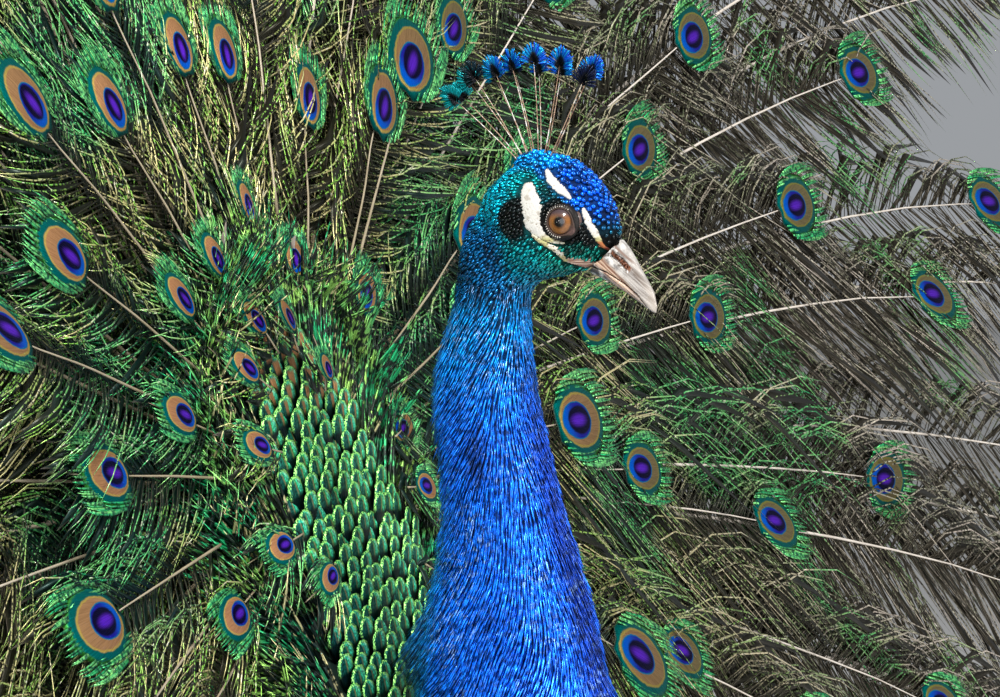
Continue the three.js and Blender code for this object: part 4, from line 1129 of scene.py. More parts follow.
on_head = up > nape_line(forward)
lid_clear = np.hypot(forward, up * 1.06) > 8.1
bill_clear = ~((forward > 15) & (up < -12.5 + 0.9 * (forward - 15)))
bare_clear = (bare_distance(forward, up) > 0.4) & (bare_distance(forward - 1.8, up - 0.7) > -0.2)
face = on_head & lid_clear & bill_clear & bare_clear
crown_line = np.maximum(0.65 * forward + 0.76 * up - 9.5, forward - 7.8 - 0.506 * (5.3 - up))
crown_zone = face & (crown_line > 0) & (up > -12)
cheek_zone = face & ~crown_zone

BEAD_ROWS = [(-0.10, 0.30, 0.16, -0.05), (0.12, 0.47, 0.30, 0.02), (0.5, 0.5, 0.36, 0.06),
             (0.82, 0.34, 0.24, 0.04), (1.0, 0, 0, 0)]
CHEEK_ROWS = [(-0.05, 0.30, 0.14, -0.06), (0.3, 0.5, 0.22, 0.05), (0.7, 0.42, 0.16, 0.06), (1.0, 0, 0, 0)]
SILK_ROWS = [(-0.04, 0.22, 0.12, -0.02), (0.3, 0.5, 0.2, 0.05), (0.7, 0.42, 0.14, 0.05), (1.0, 0, 0, 0)]
BROAD_ROWS = [(-0.03, 0.12, 0.04, -0.02), (0.3, 0.44, 0.06, 0.05), (0.62, 0.5, 0.05, 0.075),
              (0.88, 0.34, 0.03, 0.05), (1.0, 0, 0, 0.02)]

def silk_paint():
    paint, tone = toned_paint("neck_feathers", 0.32, 0.6, 300.0, 0.55, 2.5, patches=0.35)
    strand = paint.math("ABSOLUTE", paint.math("SUBTRACT", paint.split(paint.map("Vane"))[0], 0.5))
    # Each strand is painted bright along its middle and dark at its edges as highlight and shade, and the
    # gleam adds painted pale blue highlights.
    tone = paint.vector("SCALE", tone, paint.ramp(strand, 0.14, 0.34, 1.15, 0.22))
    gleam = paint.ramp(paint.noise(paint.place(), 430.0), 0.51, 0.63)
    gleam = paint.times(gleam, paint.ramp(paint.noise(paint.place(), 36.0), 0.44, 0.60, 0.12, 0.75))
    gleam = paint.times(gleam, paint.ramp(strand, 0.26, 0.12))
    return paint.color(paint.mix(gleam, tone, (0.30, 0.54, 1.0)))


BEADS = toned_material("crown_feathers", 0.24, 0.6, 420.0, 0.12, 2.2, patches=0.6)
SILK = silk_paint()


def head_lie(points):
    _, up, _ = head_place(points)
    fall = -0.25 - 0.02 * np.maximum(0, 12 - up)
    return unit(np.stack([0.15 * np.sign(points[:, 0]), np.ones(len(points)), fall], axis=-1))


points, normals = chosen(crown_zone, 0.0021, 11)
size = np.repeat([[0.0027, 0.0031, 0.0034]], len(points), axis=0)
size *= np.interp(head_place(points)[1], [-10, 15], [0.75, 1.0])[:, None]
stand_feathers("crown_feathers", feather_template("bead", BEAD_ROWS, round_section(6)), points, normals,
               head_lie(points), np.full(len(points), 0.30), size, BEADS, 3)
points, normals = chosen(cheek_zone, 0.00145, 12)
size = np.repeat([[0.0017, 0.0029, 0.0017]], len(points), axis=0)
size[:, 1] = np.interp(head_place(points)[1], [-36, -18, 0], [0.0050, 0.0032, 0.0028])
stand_feathers("cheek_feathers", feather_template("cheek", CHEEK_ROWS, round_section(4)), points, normals,
               head_lie(points), np.full(len(points), 0.32), size, BEADS, 4)

back_zone = (up < -197) & (up > -335) & (forward < 0.4 * aside - 78) & (face_normals[:, 2] > -0.3)
neck_zone = (up <= nape_line(forward)) & (up > -262) & (middles[:, 1] < EYE_Y + 0.100) & ~back_zone


def neck_lie(points):
    forward, up, _ = head_place(points)
    back = smooth(-180, -260, up)
    middle = np.interp(up, [-260, -180, -100, -31], [-48, -44, -38, -26])
    rearward = smooth(14, -14, forward - middle)
    wave = np.sin(up / 21 + 2.2 * np.sin(forward / 17)) + 0.6 * np.sin(up / 9.5 + forward / 8)
    side = np.sign(points[:, 0]) * 0.15 * back
    behind = 0.02 + 0.34 * rearward + 0.16 * wave + 0.55 * back
    return unit(np.stack([side, behind, -np.ones(len(points))], axis=-1))


points, normals = chosen(neck_zone, 0.00162, 21)
forward, up, aside = head_place(points)
width = np.interp(up, [-260, -180, -60, -30], [0.0021, 0.0016, 0.0013, 0.0012])
length = np.interp(up, [-260, -180, -60, -30], [0.016, 0.0120, 0.0086, 0.0052])
tuft = np.exp(-(((up + 196) / 13) ** 2)) * smooth(-62, -74, forward)
ruffle = smooth(-44, -62, forward) * smooth(-40, -70, up) * smooth(-255, -220, up)
length = length * (1 + 1.2 * tuft + 0.35 * ruffle)
size = np.stack([width, length, width], axis=-1)
lift = np.random.default_rng(5).normal(0.14, 0.06, len(points)) + 0.45 * tuft + 0.20 * ruffle * (1 - tuft)
on_left = points[:, 0] > 0
for word, mask in (("left", on_left), ("right", ~on_left)):
    stand_feathers("neck_feathers_" + word, feather_template("silk", SILK_ROWS, THREAD), points[mask],
                   normals[mask], neck_lie(points[mask]), lift[mask], size[mask], SILK, 5)

forward, up, aside = head_place(middles)
body_zone = ((up <= -262) | (middles[:, 1] >= EYE_Y + 0.100)) & (middles[:, 2] > 0.18) & ~back_zone
breast_zone = body_zone & (up > -352) & (forward > -95)
thigh_zone = body_zone & (up < -445)
belly_zone = body_zone & ~breast_zone & ~thigh_zone
BODY = toned_material("body_feathers", 0.5, 0.2, 120.0, 0.5, 1.5)
# Each zone: faces, spacing, heights and lengths there, width to length, lift, section, finish.
for word, zone, spacing, heights, lengths, broad, lift, section, finish in (
    ("breast", breast_zone, 0.0047, (-352, -262), (0.024, 0.015), 0.34, 0.13, round_section(4), SILK),
    ("body", belly_zone, 0.0085, (-445, -345), (0.034, 0.030), 0.55, 0.20, LEAF, BODY),
    ("thigh", thigh_zone, 0.0058, (-560, -445), (0.015, 0.022), 0.42, 0.20, round_section(4), BODY),
):
    points, normals = chosen(zone, spacing, 31)
    _, up, _ = head_place(points)
    ahead = np.clip(-normals[:, 1], 0, 1)
    lie = np.stack([0 * up, 0.75 * (1 - ahead), -0.55 - 0.4 * ahead - 0.3 * smooth(-380, -460, up)], axis=-1)
    length = np.interp(up, heights, lengths)
    size = np.stack([broad * length, length, 0.5 * length], axis=-1)
    lifts = np.random.default_rng(6).normal(lift, 0.04, len(points))
    stand_feathers(word + "_feathers", feather_template(word, BROAD_ROWS, section), points, normals, lie,
                   lifts, size, finish, 6)

# ---- Scaled back and down behind it ----
# The mound on the rump that carries the train is clothed in front with pointed scale feathers,
# green edged and copper centred, laid like tiles with tips up. Behind it is brown-grey down.
SCALE_PITCH = 0.0068
SCALE_WIDTH = 0.0148
SCALE_INSET = 0.004
MOUND_RINGS, MOUND_SIDES = 36, 40


def mound_point(rise, turn, inset):
    rows = [np.interp(rise, MOUND_ROWS[:, 0], MOUND_ROWS[:, i]) for i in (1, 2, 3)]
    width, front, back = (np.maximum(row - inset, 0.002) for row in rows)
    x, out = width * np.sin(turn), np.cos(turn)
    out = np.where(out > 0, out * front, out * back)
    return FAN_HUB + x[..., None] * SIDEWAYS + rise[..., None] * FAN_UP + out[..., None] * FAN_OUT


def mound_normal(rise, turn):
    step = 0.01
    up = mound_point(rise + step / 10, turn, 0) - mound_point(rise - step / 10, turn, 0)
    around = mound_point(rise, turn + step, 0) - mound_point(rise, turn - step, 0)
    return unit(np.cross(around, up))


def add_mound():
    rises = np.linspace(MOUND_ROWS[0, 0], MOUND_ROWS[-1, 0], MOUND_RINGS)
    turns = 2 * np.pi * np.arange(MOUND_SIDES) / MOUND_SIDES
    rise, turn = np.meshgrid(rises, turns, indexing="ij")
    points = mound_point(rise, turn, SCALE_INSET).reshape(-1, 3)
    rings, sides = rise.shape
    quads = ring_quads(rings, sides)
    caps = [tuple(reversed(range(sides))), tuple(range((rings - 1) * sides, rings * sides))]
    maps = np.stack([turn / (2 * np.pi), np.linspace(0, 1, rings)[:, None] + 0 * turn], -1).reshape(-1, 2)
    mesh = joined_mesh("train_mound", [(points[None], (quads, caps), maps[None], maps[None])])
    paint = Paint("mound", roughness=0.7)
    grain = paint.noise(paint.place(), 200.0)
    front = paint.mix(grain, (0.002, 0.010, 0.008), (0.006, 0.03, 0.02))
    rear = paint.mix(grain, (0.05, 0.04, 0.03), (0.12, 0.10, 0.08))
    material = paint.color(paint.mix(paint.facing(FAN_OUT), rear, front))
    add_piece("train_mound", mesh, (material,))


# A scale's map runs across and along it. Its rim is lime, its face turquoise and green, its middle copper,
# widest in the largest scales near the top. One half of the face is painted lit with a pale highlight and the
# other painted in shade, and the root is painted dark as shade.
def scale_paint():
    paint = Paint("scale_feathers", roughness=0.38, metallic=0.55, specular=0.15)
    x, y, _ = paint.split(paint.map("Vane"))
    place = paint.place()
    x = paint.math("MULTIPLY_ADD", x, 2.0, -1.0)
    away = paint.math("ABSOLUTE", x)
    drift = paint.noise(place, 24.0)
    grain = paint.noise(place, 1100.0)
    barbs = paint.noise(paint.join(paint.times(x, 9.0), paint.times(y, 2.0)), 1.0)
    rise = paint.vector("DOT_PRODUCT", paint.vector("SUBTRACT", place, tuple(FAN_HUB)), tuple(FAN_UP))
    top = paint.ramp(rise, 0.010, 0.055)
    tipward = paint.math("MAXIMUM", paint.math("MULTIPLY_ADD", y, 2.6, -1.7), 0.0)
    outline = paint.length(away, tipward)
    edge = paint.ramp(paint.math("MULTIPLY_ADD", grain, 0.45, outline), 0.92, 1.04)
    core_width = paint.math("MULTIPLY_ADD", top, 0.36, 0.03)
    core = paint.ramp(paint.math("SUBTRACT", away, core_width), 0.10, -0.04)
    core = paint.times(core, paint.ramp(y, 0.94, 0.80))
    face = paint.mix(paint.ramp(drift, 0.35, 0.65), (0.0, 0.56, 0.36), (0.05, 0.68, 0.18))
    face = paint.mix(paint.ramp(away, 0.10, 0.50), face, (0.10, 1.0, 0.58))
    # A pale painted highlight on the lit half of the face.
    pale = paint.times(paint.ramp(x, 0.22, 0.48), paint.ramp(y, 0.70, 0.86))
    face = paint.mix(paint.times(pale, 0.75), face, (0.52, 1.0, 0.62))
    # The other half is painted dark as shade.
    left = paint.ramp(x, -0.20, 0.04)
    face = paint.mix(left, paint.mix(0.90, face, (0.0, 0.014, 0.026)), face)
    face = paint.vector("SCALE", face, paint.ramp(paint.noise(place, 850.0), 0.36, 0.64, 0.40, 1.6))
    face = paint.mix(paint.ramp(barbs, 0.40, 0.60), paint.mix(0.5, face, (0.0, 0.02, 0.015)), face)
    paint.bump(barbs, 0.0006, 1.0)
    copper = paint.mix(top, paint.mix(grain, (0.14, 0.09, 0.03), (0.42, 0.24, 0.10)),
                       paint.mix(grain, (0.26, 0.11, 0.04), (0.60, 0.30, 0.13)))
    shade = paint.mix(core, face, copper)
    lime = paint.mix(paint.ramp(grain, 0.44, 0.54), (0.0, 0.09, 0.03), (0.42, 1.0, 0.24))
    shade = paint.mix(edge, shade, lime)
    # The root is painted dark as shade where the next scales overlap it.
    root = paint.ramp(y, 0.66, 0.50)
    return paint.color(paint.mix(root, shade, (0.001, 0.010, 0.009)))


SCALES = scale_paint()
SCALE_ROWS = [(-0.05, 0.16, 0.006, -0.03), (0.35, 0.42, 0.006, 0.0), (0.64, 0.50, 0.007, 0.02),
              (0.82, 0.46, 0.006, 0.03), (0.94, 0.30, 0.004, 0.03), (1.0, 0, 0, 0.025)]
SCALED_REACH = (  # rise, right limit, left limit
    (-0.21, -0.10, -0.06, -0.04, -0.02, 0, 0.02, 0.035, 0.052, 0.062, 0.071),
    (-0.048, -0.050, -0.051, -0.053, -0.055, -0.056, -0.053, -0.048, -0.043, -0.039, -0.030),
    (0.072, 0.074, 0.072, 0.064, 0.048, 0.040, 0.030, 0.018, 0.010, 0.005, -0.006),
)


def off_scales(x, rise, spare=0.0):
    rises, right, left = SCALED_REACH
    past_right = x < np.interp(rise, rises, right) + spare
    past_left = x > np.interp(rise, rises, left) - spare
    return past_right | past_left | (rise > rises[-1])


def clothe_mound():
    draw = np.random.default_rng(17)
    rises = np.arange(-0.205, 0.092, SCALE_PITCH)
    rise, turn = [], []
    for row, level in enumerate(rises):
        width, front = (np.interp(level, MOUND_ROWS[:, 0], MOUND_ROWS[:, i]) for i in (1, 2))
        dense = np.radians(np.linspace(-112, 112, 200))
        track = np.cumsum(np.hypot(width * np.cos(dense), front * np.sin(dense)))
        track *= (dense[1] - dense[0])
        pitch = SCALE_WIDTH * np.interp(level, [-0.2, 0, 0.09], [0.9, 1.0, 1.1])
        middle = track[100]
        places = np.arange(-20, 21) * pitch + (row % 2) * 0.5 * pitch + middle
        places = places[(places > track[0]) & (places < track[-1])]
        turn.append(np.interp(places, track, dense))
        rise.append(np.full(len(places), level))
    rise, turn = np.concatenate(rise), np.concatenate(turn)
    scaled = ~off_scales(mound_point(rise, turn, SCALE_INSET)[:, 0], rise) & (np.cos(turn) > 0)
    rise, turn = rise[scaled], turn[scaled]
    rise = rise + draw.normal(0, 0.0009, len(rise))
    turn = turn + draw.normal(0, 0.012, len(turn))
    points, normals = mound_point(rise, turn, SCALE_INSET), mound_normal(rise, turn)
    lie = FAN_UP + np.outer(0.35 * np.sin(turn) - 0.14, SIDEWAYS) + draw.normal(0, 0.05, (len(turn), 3))
    grow = np.interp(rise, [-0.2, 0.0, 0.09], [0.9, 1.0, 1.1])
    sizes = np.stack([0.0158 * grow, 0.0215 * grow, 0.024 * grow], axis=-1)
    lift = draw.normal(0.18, 0.06, len(rise))
    stand_feathers("scale_feathers", feather_template("scale", SCALE_ROWS, LEAF), points, normals, lie, lift,
                   sizes, SCALES, 8, (0.93, 1.07), tone=0 * points)


# Smaller scales clothe the back from the foot of the neck to the mound.
def clothe_back():
    points, normals = chosen(back_zone, 0.0074, 33)
    draw = np.random.default_rng(34)
    lie = np.array([0, 1.0, -0.35]) + draw.normal(0, 0.06, (len(points), 3))
    sizes = np.repeat([[0.0125, 0.0190, 0.020]], len(points), axis=0)
    lift = draw.normal(0.16, 0.05, len(points))
    stand_feathers("back_feathers", feather_template("scale", SCALE_ROWS, LEAF), points, normals, lie, lift,
                   sizes, SCALES, 12, (0.9, 1.1), tone=0 * points)


# Loose green and gold sprays stand round the scaled patch and hide where the train begins.
SPRAY_STRANDS = 5
SPRAY_TRIES = 1500
SPRAY_REACH = math.radians(118)


def spray_paint():
    paint = Paint("sprays", roughness=0.38, metallic=0.55)
    strand, along, _ = paint.split(paint.map("Vane"))
    place = paint.place()
    drift = paint.noise(place, 30.0)
    dashes = paint.noise(place, 190.0)
    green = paint.mix(paint.ramp(drift, 0.4, 0.6), (0.01, 0.38, 0.14), (0.30, 0.60, 0.12))
    bright = paint.mix(paint.ramp(strand, 0.7, 0.95), green, (0.62, 0.58, 0.30))
    ground = paint.mix(drift, (0.001, 0.018, 0.014), (0.010, 0.012, 0.005))
    # The lit dashes are painted highlights over the dark ground.
    lit = paint.times(paint.ramp(dashes, 0.47, 0.58), paint.ramp(along, 0.15, 0.5))
    return paint.color(paint.mix(lit, ground, bright))


def spray_template():
    steps = np.linspace(0, 1, 5)
    draw = np.random.default_rng(3)
    aim = np.linspace(-0.42, 0.42, SPRAY_STRANDS) + draw.normal(0, 0.04, SPRAY_STRANDS)
    grown = draw.uniform(0.75, 1.0, SPRAY_STRANDS)
    x = np.outer(np.sin(aim) * grown, steps * (1.3 - 0.3 * steps))
    y = np.outer(np.cos(aim) * grown, steps)
    path = np.stack([x, y, 0.10 * y * y + np.outer(draw.normal(0, 0.05, SPRAY_STRANDS), steps)], axis=-1)
    ways = unit(np.gradient(path, axis=1))
    flat = unit(np.cross(ways, [0, 0, 1.0]))
    half = np.tile([0.008, 0.014, 0.014, 0.010, 0], (SPRAY_STRANDS, 1))
    points, groups, share, _ = strand_mesh(path, flat, np.cross(flat, ways), half, 0.5 * half, THREAD)
    vane = map_of(np.linspace(0.05, 0.95, SPRAY_STRANDS)[:, None], share, points.shape[:2])
    return bpy.data.objects.new("spray", joined_mesh("spray", [(points, groups, vane, vane)]))


def clothe_sides():
    draw = np.random.default_rng(19)
    rise = draw.uniform(-0.21, 0.093, SPRAY_TRIES)
    turn = draw.uniform(-SPRAY_REACH, SPRAY_REACH, SPRAY_TRIES)
    points = mound_point(rise, turn, SCALE_INSET)
    free = off_scales(points[:, 0], rise, 0.004) | (np.cos(turn) < 0.1)
    rise, turn, points = rise[free], turn[free], points[free]
    outward = np.stack([points[:, 0], 0 * rise, 0 * rise], axis=-1) / 0.06
    lie = (0.9 + 3 * np.clip(rise, -0.1, 0.1))[:, None] * FAN_UP + 0.9 * outward
    lie = lie + draw.normal(0, 0.10, (len(rise), 3))
    length = draw.uniform(0.045, 0.072, len(rise))
    template, lift = spray_template(), draw.normal(0.13, 0.06, len(rise))
    stand_feathers("side_sprays", template, points, mound_normal(rise, turn), lie, lift,
                   np.stack([length] * 3, axis=-1), spray_paint(), 10, (0.8, 1.2),
                   tone=0 * points)


DOWN_COUNT = 900
DOWN_ROWS = [(-0.05, 0.10, 0.03, 0), (0.3, 0.42, 0.06, 0.05), (0.7, 0.46, 0.05, 0.12), (1.0, 0, 0, 0.16)]


def down_paint():
    paint = Paint("down", roughness=0.8, sheen=0.3)
    along = paint.split(paint.map("Vane"))[1]
    grain = paint.noise(paint.place(), 160.0)
    shade = paint.mix(grain, (0.10, 0.08, 0.06), (0.26, 0.22, 0.18))
    return paint.color(paint.mix(paint.ramp(along, 0.4, 1.0), (0.05, 0.04, 0.03), shade))


def clothe_rear():
    draw = np.random.default_rng(18)
    rise = draw.uniform(-0.21, 0.09, DOWN_COUNT)
    turn = draw.uniform(SPRAY_REACH, 2 * math.pi - SPRAY_REACH, DOWN_COUNT)
    points, normals = mound_point(rise, turn, SCALE_INSET), mound_normal(rise, turn)
    lie = 0.8 * FAN_UP - 0.5 * FAN_OUT + np.outer(0.6 * np.sin(turn), SIDEWAYS)
    lie = lie + draw.normal(0, 0.15, (DOWN_COUNT, 3))
    sizes = np.repeat([[0.014, 0.042, 0.014]], DOWN_COUNT, axis=0)
    lift = draw.normal(0.38, 0.12, DOWN_COUNT)
    stand_feathers("rump_down", feather_template("down", DOWN_ROWS, round_section(4)), points, normals, lie,
                   lift, sizes, down_paint(), 9, (0.7, 1.2), tone=0 * points)


add_mound()
clothe_mound()
clothe_back()
clothe_sides()
clothe_rear()

# ---- Bare skin of the face ----
# Smooth chalky skin shows in a bar behind the eye, over it, before it and down to the gape. Each
# patch lies on the skin of the head and is a little swollen; the fine feathers meet its edge.
BAND_STATIONS = 56
BAND_ACROSS = 9
SWELL = 0.0008
SUNK = 0.00025
head_surface = BVHTree.FromPolygons([vertex.co for vertex in skin.data.vertices],
                                    [tuple(face.vertices) for face in skin.data.polygons])


def on_skin(forward, up, side):
    origin = Vector((side * 0.1, EYE_Y - forward * MM, EYE_SURFACE.z + up * MM))
    place, normal = head_surface.ray_cast(origin, Vector((-side, 0, 0)))[:2]
    if place is None:
        return head_surface.find_nearest(Vector((side * 0.012, origin.y, origin.z)))[:2]
    return place, normal


# A closed sheet between an upper and a lower grid of points.
def sheet_bundle(upper, lower):
    n, m = upper.shape[:2]
    points = np.concatenate([upper.reshape(-1, 3), lower.reshape(-1, 3)])
    quads = []
    for i in range(n - 1):
        for j in range(m - 1):
            a = i * m + j
            quads.append((a, a + m, a + m + 1, a + 1))
            quads.append((n * m + a, n * m + a + 1, n * m + a + m + 1, n * m + a + m))
    rim = [i * m for i in range(n)] + [(n - 1) * m + j for j in range(1, m)]
    rim += [i * m + m - 1 for i in range(n - 2, -1, -1)] + list(range(m - 2, 0, -1))
    for a, b in zip(rim, rim[1:] + rim[:1]):
        quads.append((b, a, n * m + a, n * m + b))
    u, v = np.meshgrid(np.linspace(0, 1, n), np.linspace(0, 1, m), indexing="ij")
    grid = np.stack([u, v], axis=-1).reshape(-1, 2)
    return points, quads, np.concatenate([grid, grid])


def bare_patch(line, side, draw):
    track = dense_line(line, BAND_STATIONS)
    kernel = np.ones(5) / 5
    for i in range(3):
        track[2:-2, i] = np.convolve(track[:, i], kernel, "valid")
    way = unit(np.gradient(track[:, :2], axis=0))
    ragged = 1 + 0.11 * draw.normal(0, 1, (BAND_STATIONS, 2))
    upper, lower = [], []
    for n, (forward, up, half) in enumerate(track):
        rows = []
        for share in np.linspace(-1, 1, BAND_ACROSS):
            reach = half * share * ragged[n, int(share > 0)]
            place, normal = on_skin(forward - way[n, 1] * reach, up + way[n, 0] * reach, side)
            rise = SWELL * math.sqrt(1 - share**2) - SUNK
            rows.append((place + normal * rise, place - normal * 4 * SUNK))
        upper.append([row[0] for row in rows])
        lower.append([row[1] for row in rows])
    upper, lower = np.array(upper), np.array(lower)
    if side > 0:
        upper, lower = upper[:, ::-1], lower[:, ::-1]
    return sheet_bundle(upper, lower)


def bare_paint():
    paint = Paint("bare_skin", roughness=0.55)
    place = paint.place()
    _, y, z = paint.split(place)
    grain = paint.noise(place, 900.0, detail=3.0)
    blotch = paint.noise(place, 160.0)
    white = paint.mix(grain, (0.40, 0.39, 0.365), (0.60, 0.585, 0.555))
    white = paint.mix(paint.ramp(blotch, 0.58, 0.68), white, (0.34, 0.31, 0.27))
    cream = paint.mix(paint.ramp(blotch, 0.40, 0.60), (0.38, 0.36, 0.15), (0.66, 0.63, 0.54))
    low = paint.ramp(z, EYE_SURFACE.z - 0.005, EYE_SURFACE.z - 0.009)
    shade = paint.mix(low, white, cream)
    crack = paint.ramp(paint.math("MULTIPLY_ADD", low, -0.10, grain), 0.37, 0.30)
    shade = paint.mix(crack, shade, (0.20, 0.15, 0.09))
    front = paint.times(paint.ramp(y, EYE_Y - 0.0125, EYE_Y - 0.0145),
                       paint.ramp(z, EYE_SURFACE.z - 0.0175, EYE_SURFACE.z - 0.0160))
    front = paint.times(front, paint.ramp(z, EYE_SURFACE.z - 0.0088, EYE_SURFACE.z - 0.0102))
    rust = paint.mix(paint.ramp(blotch, 0.42, 0.58), (0.34, 0.11, 0.03), (0.10, 0.014, 0.010))
    shade = paint.mix(front, shade, rust)
    streak = paint.noise(paint.join(paint.times(y, 90.0), paint.times(z, 1100.0)), 1.0)
    gape = paint.times(paint.ramp(z, EYE_SURFACE.z - 0.0165, EYE_SURFACE.z - 0.0178),
                      paint.ramp(y, EYE_Y + 0.0012, EYE_Y - 0.0012))
    flesh = paint.mix(paint.ramp(streak, 0.40, 0.58), (0.22, 0.09, 0.05), (0.62, 0.44, 0.34))
    shade = paint.mix(gape, shade, flesh)
    paint.bump(grain, 0.0003)
    return paint.color(shade)


def add_bare_skin():
    draw = np.random.default_rng(41)
    bundles = []
    patches = [(line, side) for line in BARE_BANDS.values() for side in (-1, 1)]
    for index, (line, side) in enumerate(patches):
        points, quads, grid = bare_patch(line, side, draw)
        bake = np.array([index % 4 / 4, index // 4 / 3]) + 0.01 + grid * [0.22, 0.30]
        bundles.append((points[None], (quads,), bake[None], grid[None]))
    mesh = joined_mesh("face_skin", bundles)
    shade_smooth(mesh)
    add_piece("face_skin", mesh, (bare_paint(),))


add_bare_skin()

# ---- Eyes and lids ----
# A glossy ball with a brown iris sits in each side of the head. A pale lip rims the opening, a
# row of tiny white beads runs round it, and dark skin folds into a corner at the front.
BALL_RADIUS = 0.0094
IRIS_RADIUS = 0.0061
PUPIL_RADIUS = 0.0024
CORNEA_SWELL = 0.0004
BALL_SPOKES = 40
CORNER_ANGLE = math.radians(-32)


# Rings about the eye's own axis: radius, distance out along the axis, reach of the front corner.
def ring_points(side, radius, out, corner, spokes):
    turns = 2 * np.pi * np.arange(spokes) / spokes
    away = np.abs((turns - CORNER_ANGLE + np.pi) % (2 * np.pi) - np.pi)
    stretched = radius * (1 + corner * np.exp(-((away / math.radians(26)) ** 2)))
    x = side * (abs(EYE_MIDDLE.x) + out) + 0 * turns
    y = EYE_Y - stretched * np.cos(turns)
    return np.stack([x, y, EYE_MIDDLE.z + stretched * np.sin(turns)], -1), turns


def ring_loft(side, profile, spokes, closed):
    points, maps = [], []
    for n, (radius, out, corner) in enumerate(profile):
        ring, turns = ring_points(side, radius, out, corner, spokes)
        points.append(ring)
        maps.append(np.stack([n / len(profile) + 0 * turns, turns / (2 * np.pi)], -1))
    quads = []
    last = len(profile) if closed else len(profile) - 1
    for i in range(last):
        for j in range(spokes):
            a, b = i * spokes, (i + 1) % len(profile) * spokes
            k = (j + 1) % spokes
            quads.append((a + j, a + k, b + k, b + j) if side > 0 else (a + k, a + j, b + j, b + k))
    return np.concatenate(points), quads, np.concatenate(maps)


def eye_paint():
    paint = Paint("eyeball", roughness=0.30, coat=0.7, specular=0.15)
    paint.shader.inputs["Coat Roughness"].default_value = 0.03
    _, y, z = paint.split(paint.vector("SUBTRACT", paint.place(), (0.0, EYE_Y, EYE_MIDDLE.z)))
    radius = paint.length(y, z)
    slope = paint.math("ARCTAN2", y, z)
    pupil = paint.length(paint.math("ADD", y, 0.0006), z)
    fibre = paint.noise(paint.join(paint.times(slope, 9.0), paint.times(radius, 300.0)), 2.0)
    iris = paint.mix(fibre, (0.10, 0.034, 0.008), (0.31, 0.13, 0.038))
    iris = paint.mix(paint.ramp(pupil, 0.0038, 0.0026), iris, (0.07, 0.028, 0.010))
    iris = paint.mix(paint.ramp(radius, 0.0053, IRIS_RADIUS), iris, (0.04, 0.018, 0.010))
    # The top of the iris is painted darker as the lid's shade.
    iris = paint.mix(paint.ramp(z, 0.0010, 0.0050), iris, (0.06, 0.040, 0.045))
    past_pupil = paint.ramp(pupil, PUPIL_RADIUS - 0.0002, PUPIL_RADIUS + 0.0002)
    shade = paint.mix(past_pupil, (0.003, 0.003, 0.005), iris)
    white = paint.mix(fibre, (0.05, 0.03, 0.025), (0.14, 0.09, 0.08))
    shade = paint.mix(paint.ramp(radius, IRIS_RADIUS, IRIS_RADIUS + 0.0003), shade, white)
    return paint.color(shade)


def add_eyeball(name, side, paint):
    bends = np.radians(np.concatenate([np.linspace(4, 48, 14), np.linspace(56, 172, 10)]))
    swell = CORNEA_SWELL * np.clip(1 - (bends / math.radians(40)) ** 2, 0, 1)
    profile = [(math.sin(bend) * reach, math.cos(bend) * reach, 0)
               for bend, reach in zip(bends, BALL_RADIUS + swell)]
    points, quads, maps = ring_loft(side, profile, BALL_SPOKES, False)
    poles, _ = ring_points(side, 0, BALL_RADIUS + CORNEA_SWELL, 0, 1)
    far, _ = ring_points(side, 0, -BALL_RADIUS, 0, 1)
    count = len(points)
    points = np.concatenate([points, poles, far])
    maps = np.concatenate([maps, [[0, 0.5], [1, 0.5]]])
    tips = []
    last = count - BALL_SPOKES
    for j in range(BALL_SPOKES):
        k = (j + 1) % BALL_SPOKES
        near, back = (count, k, j), (count + 1, last + j, last + k)
        tips += [near, back] if side < 0 else [near[::-1], back[::-1]]
    mesh = joined_mesh(name, [(points[None], (quads, tips), maps[None], maps[None])])
    shade_smooth(mesh)
    add_piece(name, mesh, (paint,), (name.replace("ball", "eye"),))


# The lid's rings, from the inner lip round the outside and back: radius, distance out, corner.
LID_PROFILE = (
    (0.0062, 0.0069, 0.06), (0.0063, 0.0074, 0.12), (0.0065, 0.0077, 0.18), (0.0068, 0.0077, 0.26),
    (0.0070, 0.0073, 0.30), (0.0073, 0.0074, 0.30), (0.0077, 0.0074, 0.28), (0.0081, 0.0071, 0.24),
    (0.0086, 0.0065, 0.16), (0.0092, 0.0054, 0.08), (0.0088, 0.0040, 0.0), (0.0064, 0.0056, 0.0),
)


def lid_paint():
    paint = Paint("lids", roughness=0.5, specular=0.2)
    ring, turn, _ = paint.split(paint.map("Vane"))
    place = paint.place()
    grain = paint.noise(place, 1500.0)
    lip = paint.mix(grain, (0.020, 0.012, 0.009), (0.09, 0.055, 0.045))
    dark = paint.mix(grain, (0.002, 0.002, 0.002), (0.012, 0.009, 0.008))
    shade = paint.mix(paint.ramp(ring, 0.27, 0.33), lip, dark)
    corner = paint.ramp(paint.math("ABSOLUTE", paint.math("SUBTRACT", turn, 0.90)), 0.06, 0.02)
    corner = paint.times(corner, paint.ramp(ring, 0.45, 0.30))
    shade = paint.mix(corner, shade, paint.mix(grain, (0.035, 0.020, 0.018), (0.13, 0.075, 0.07)))
    paint.bump(grain, 0.0002)
    return paint.color(shade)


# A ball of radius one, as points and triangles.
def round_ball(subdivisions):
    ball = bmesh.new()
    bmesh.ops.create_icosphere(ball, subdivisions=subdivisions, radius=1)
    points = np.array([vertex.co for vertex in ball.verts])
    faces = [tuple(vertex.index for vertex in face.verts) for face in ball.faces]
    ball.free()
    return points, faces


BEAD_SPOKES = 40
BEAD_RINGS = ((0.0074, 0.0075, 0.00038, 0.30), (0.0082, 0.0073, 0.00020, 0.24))  # as a lid's, with a size


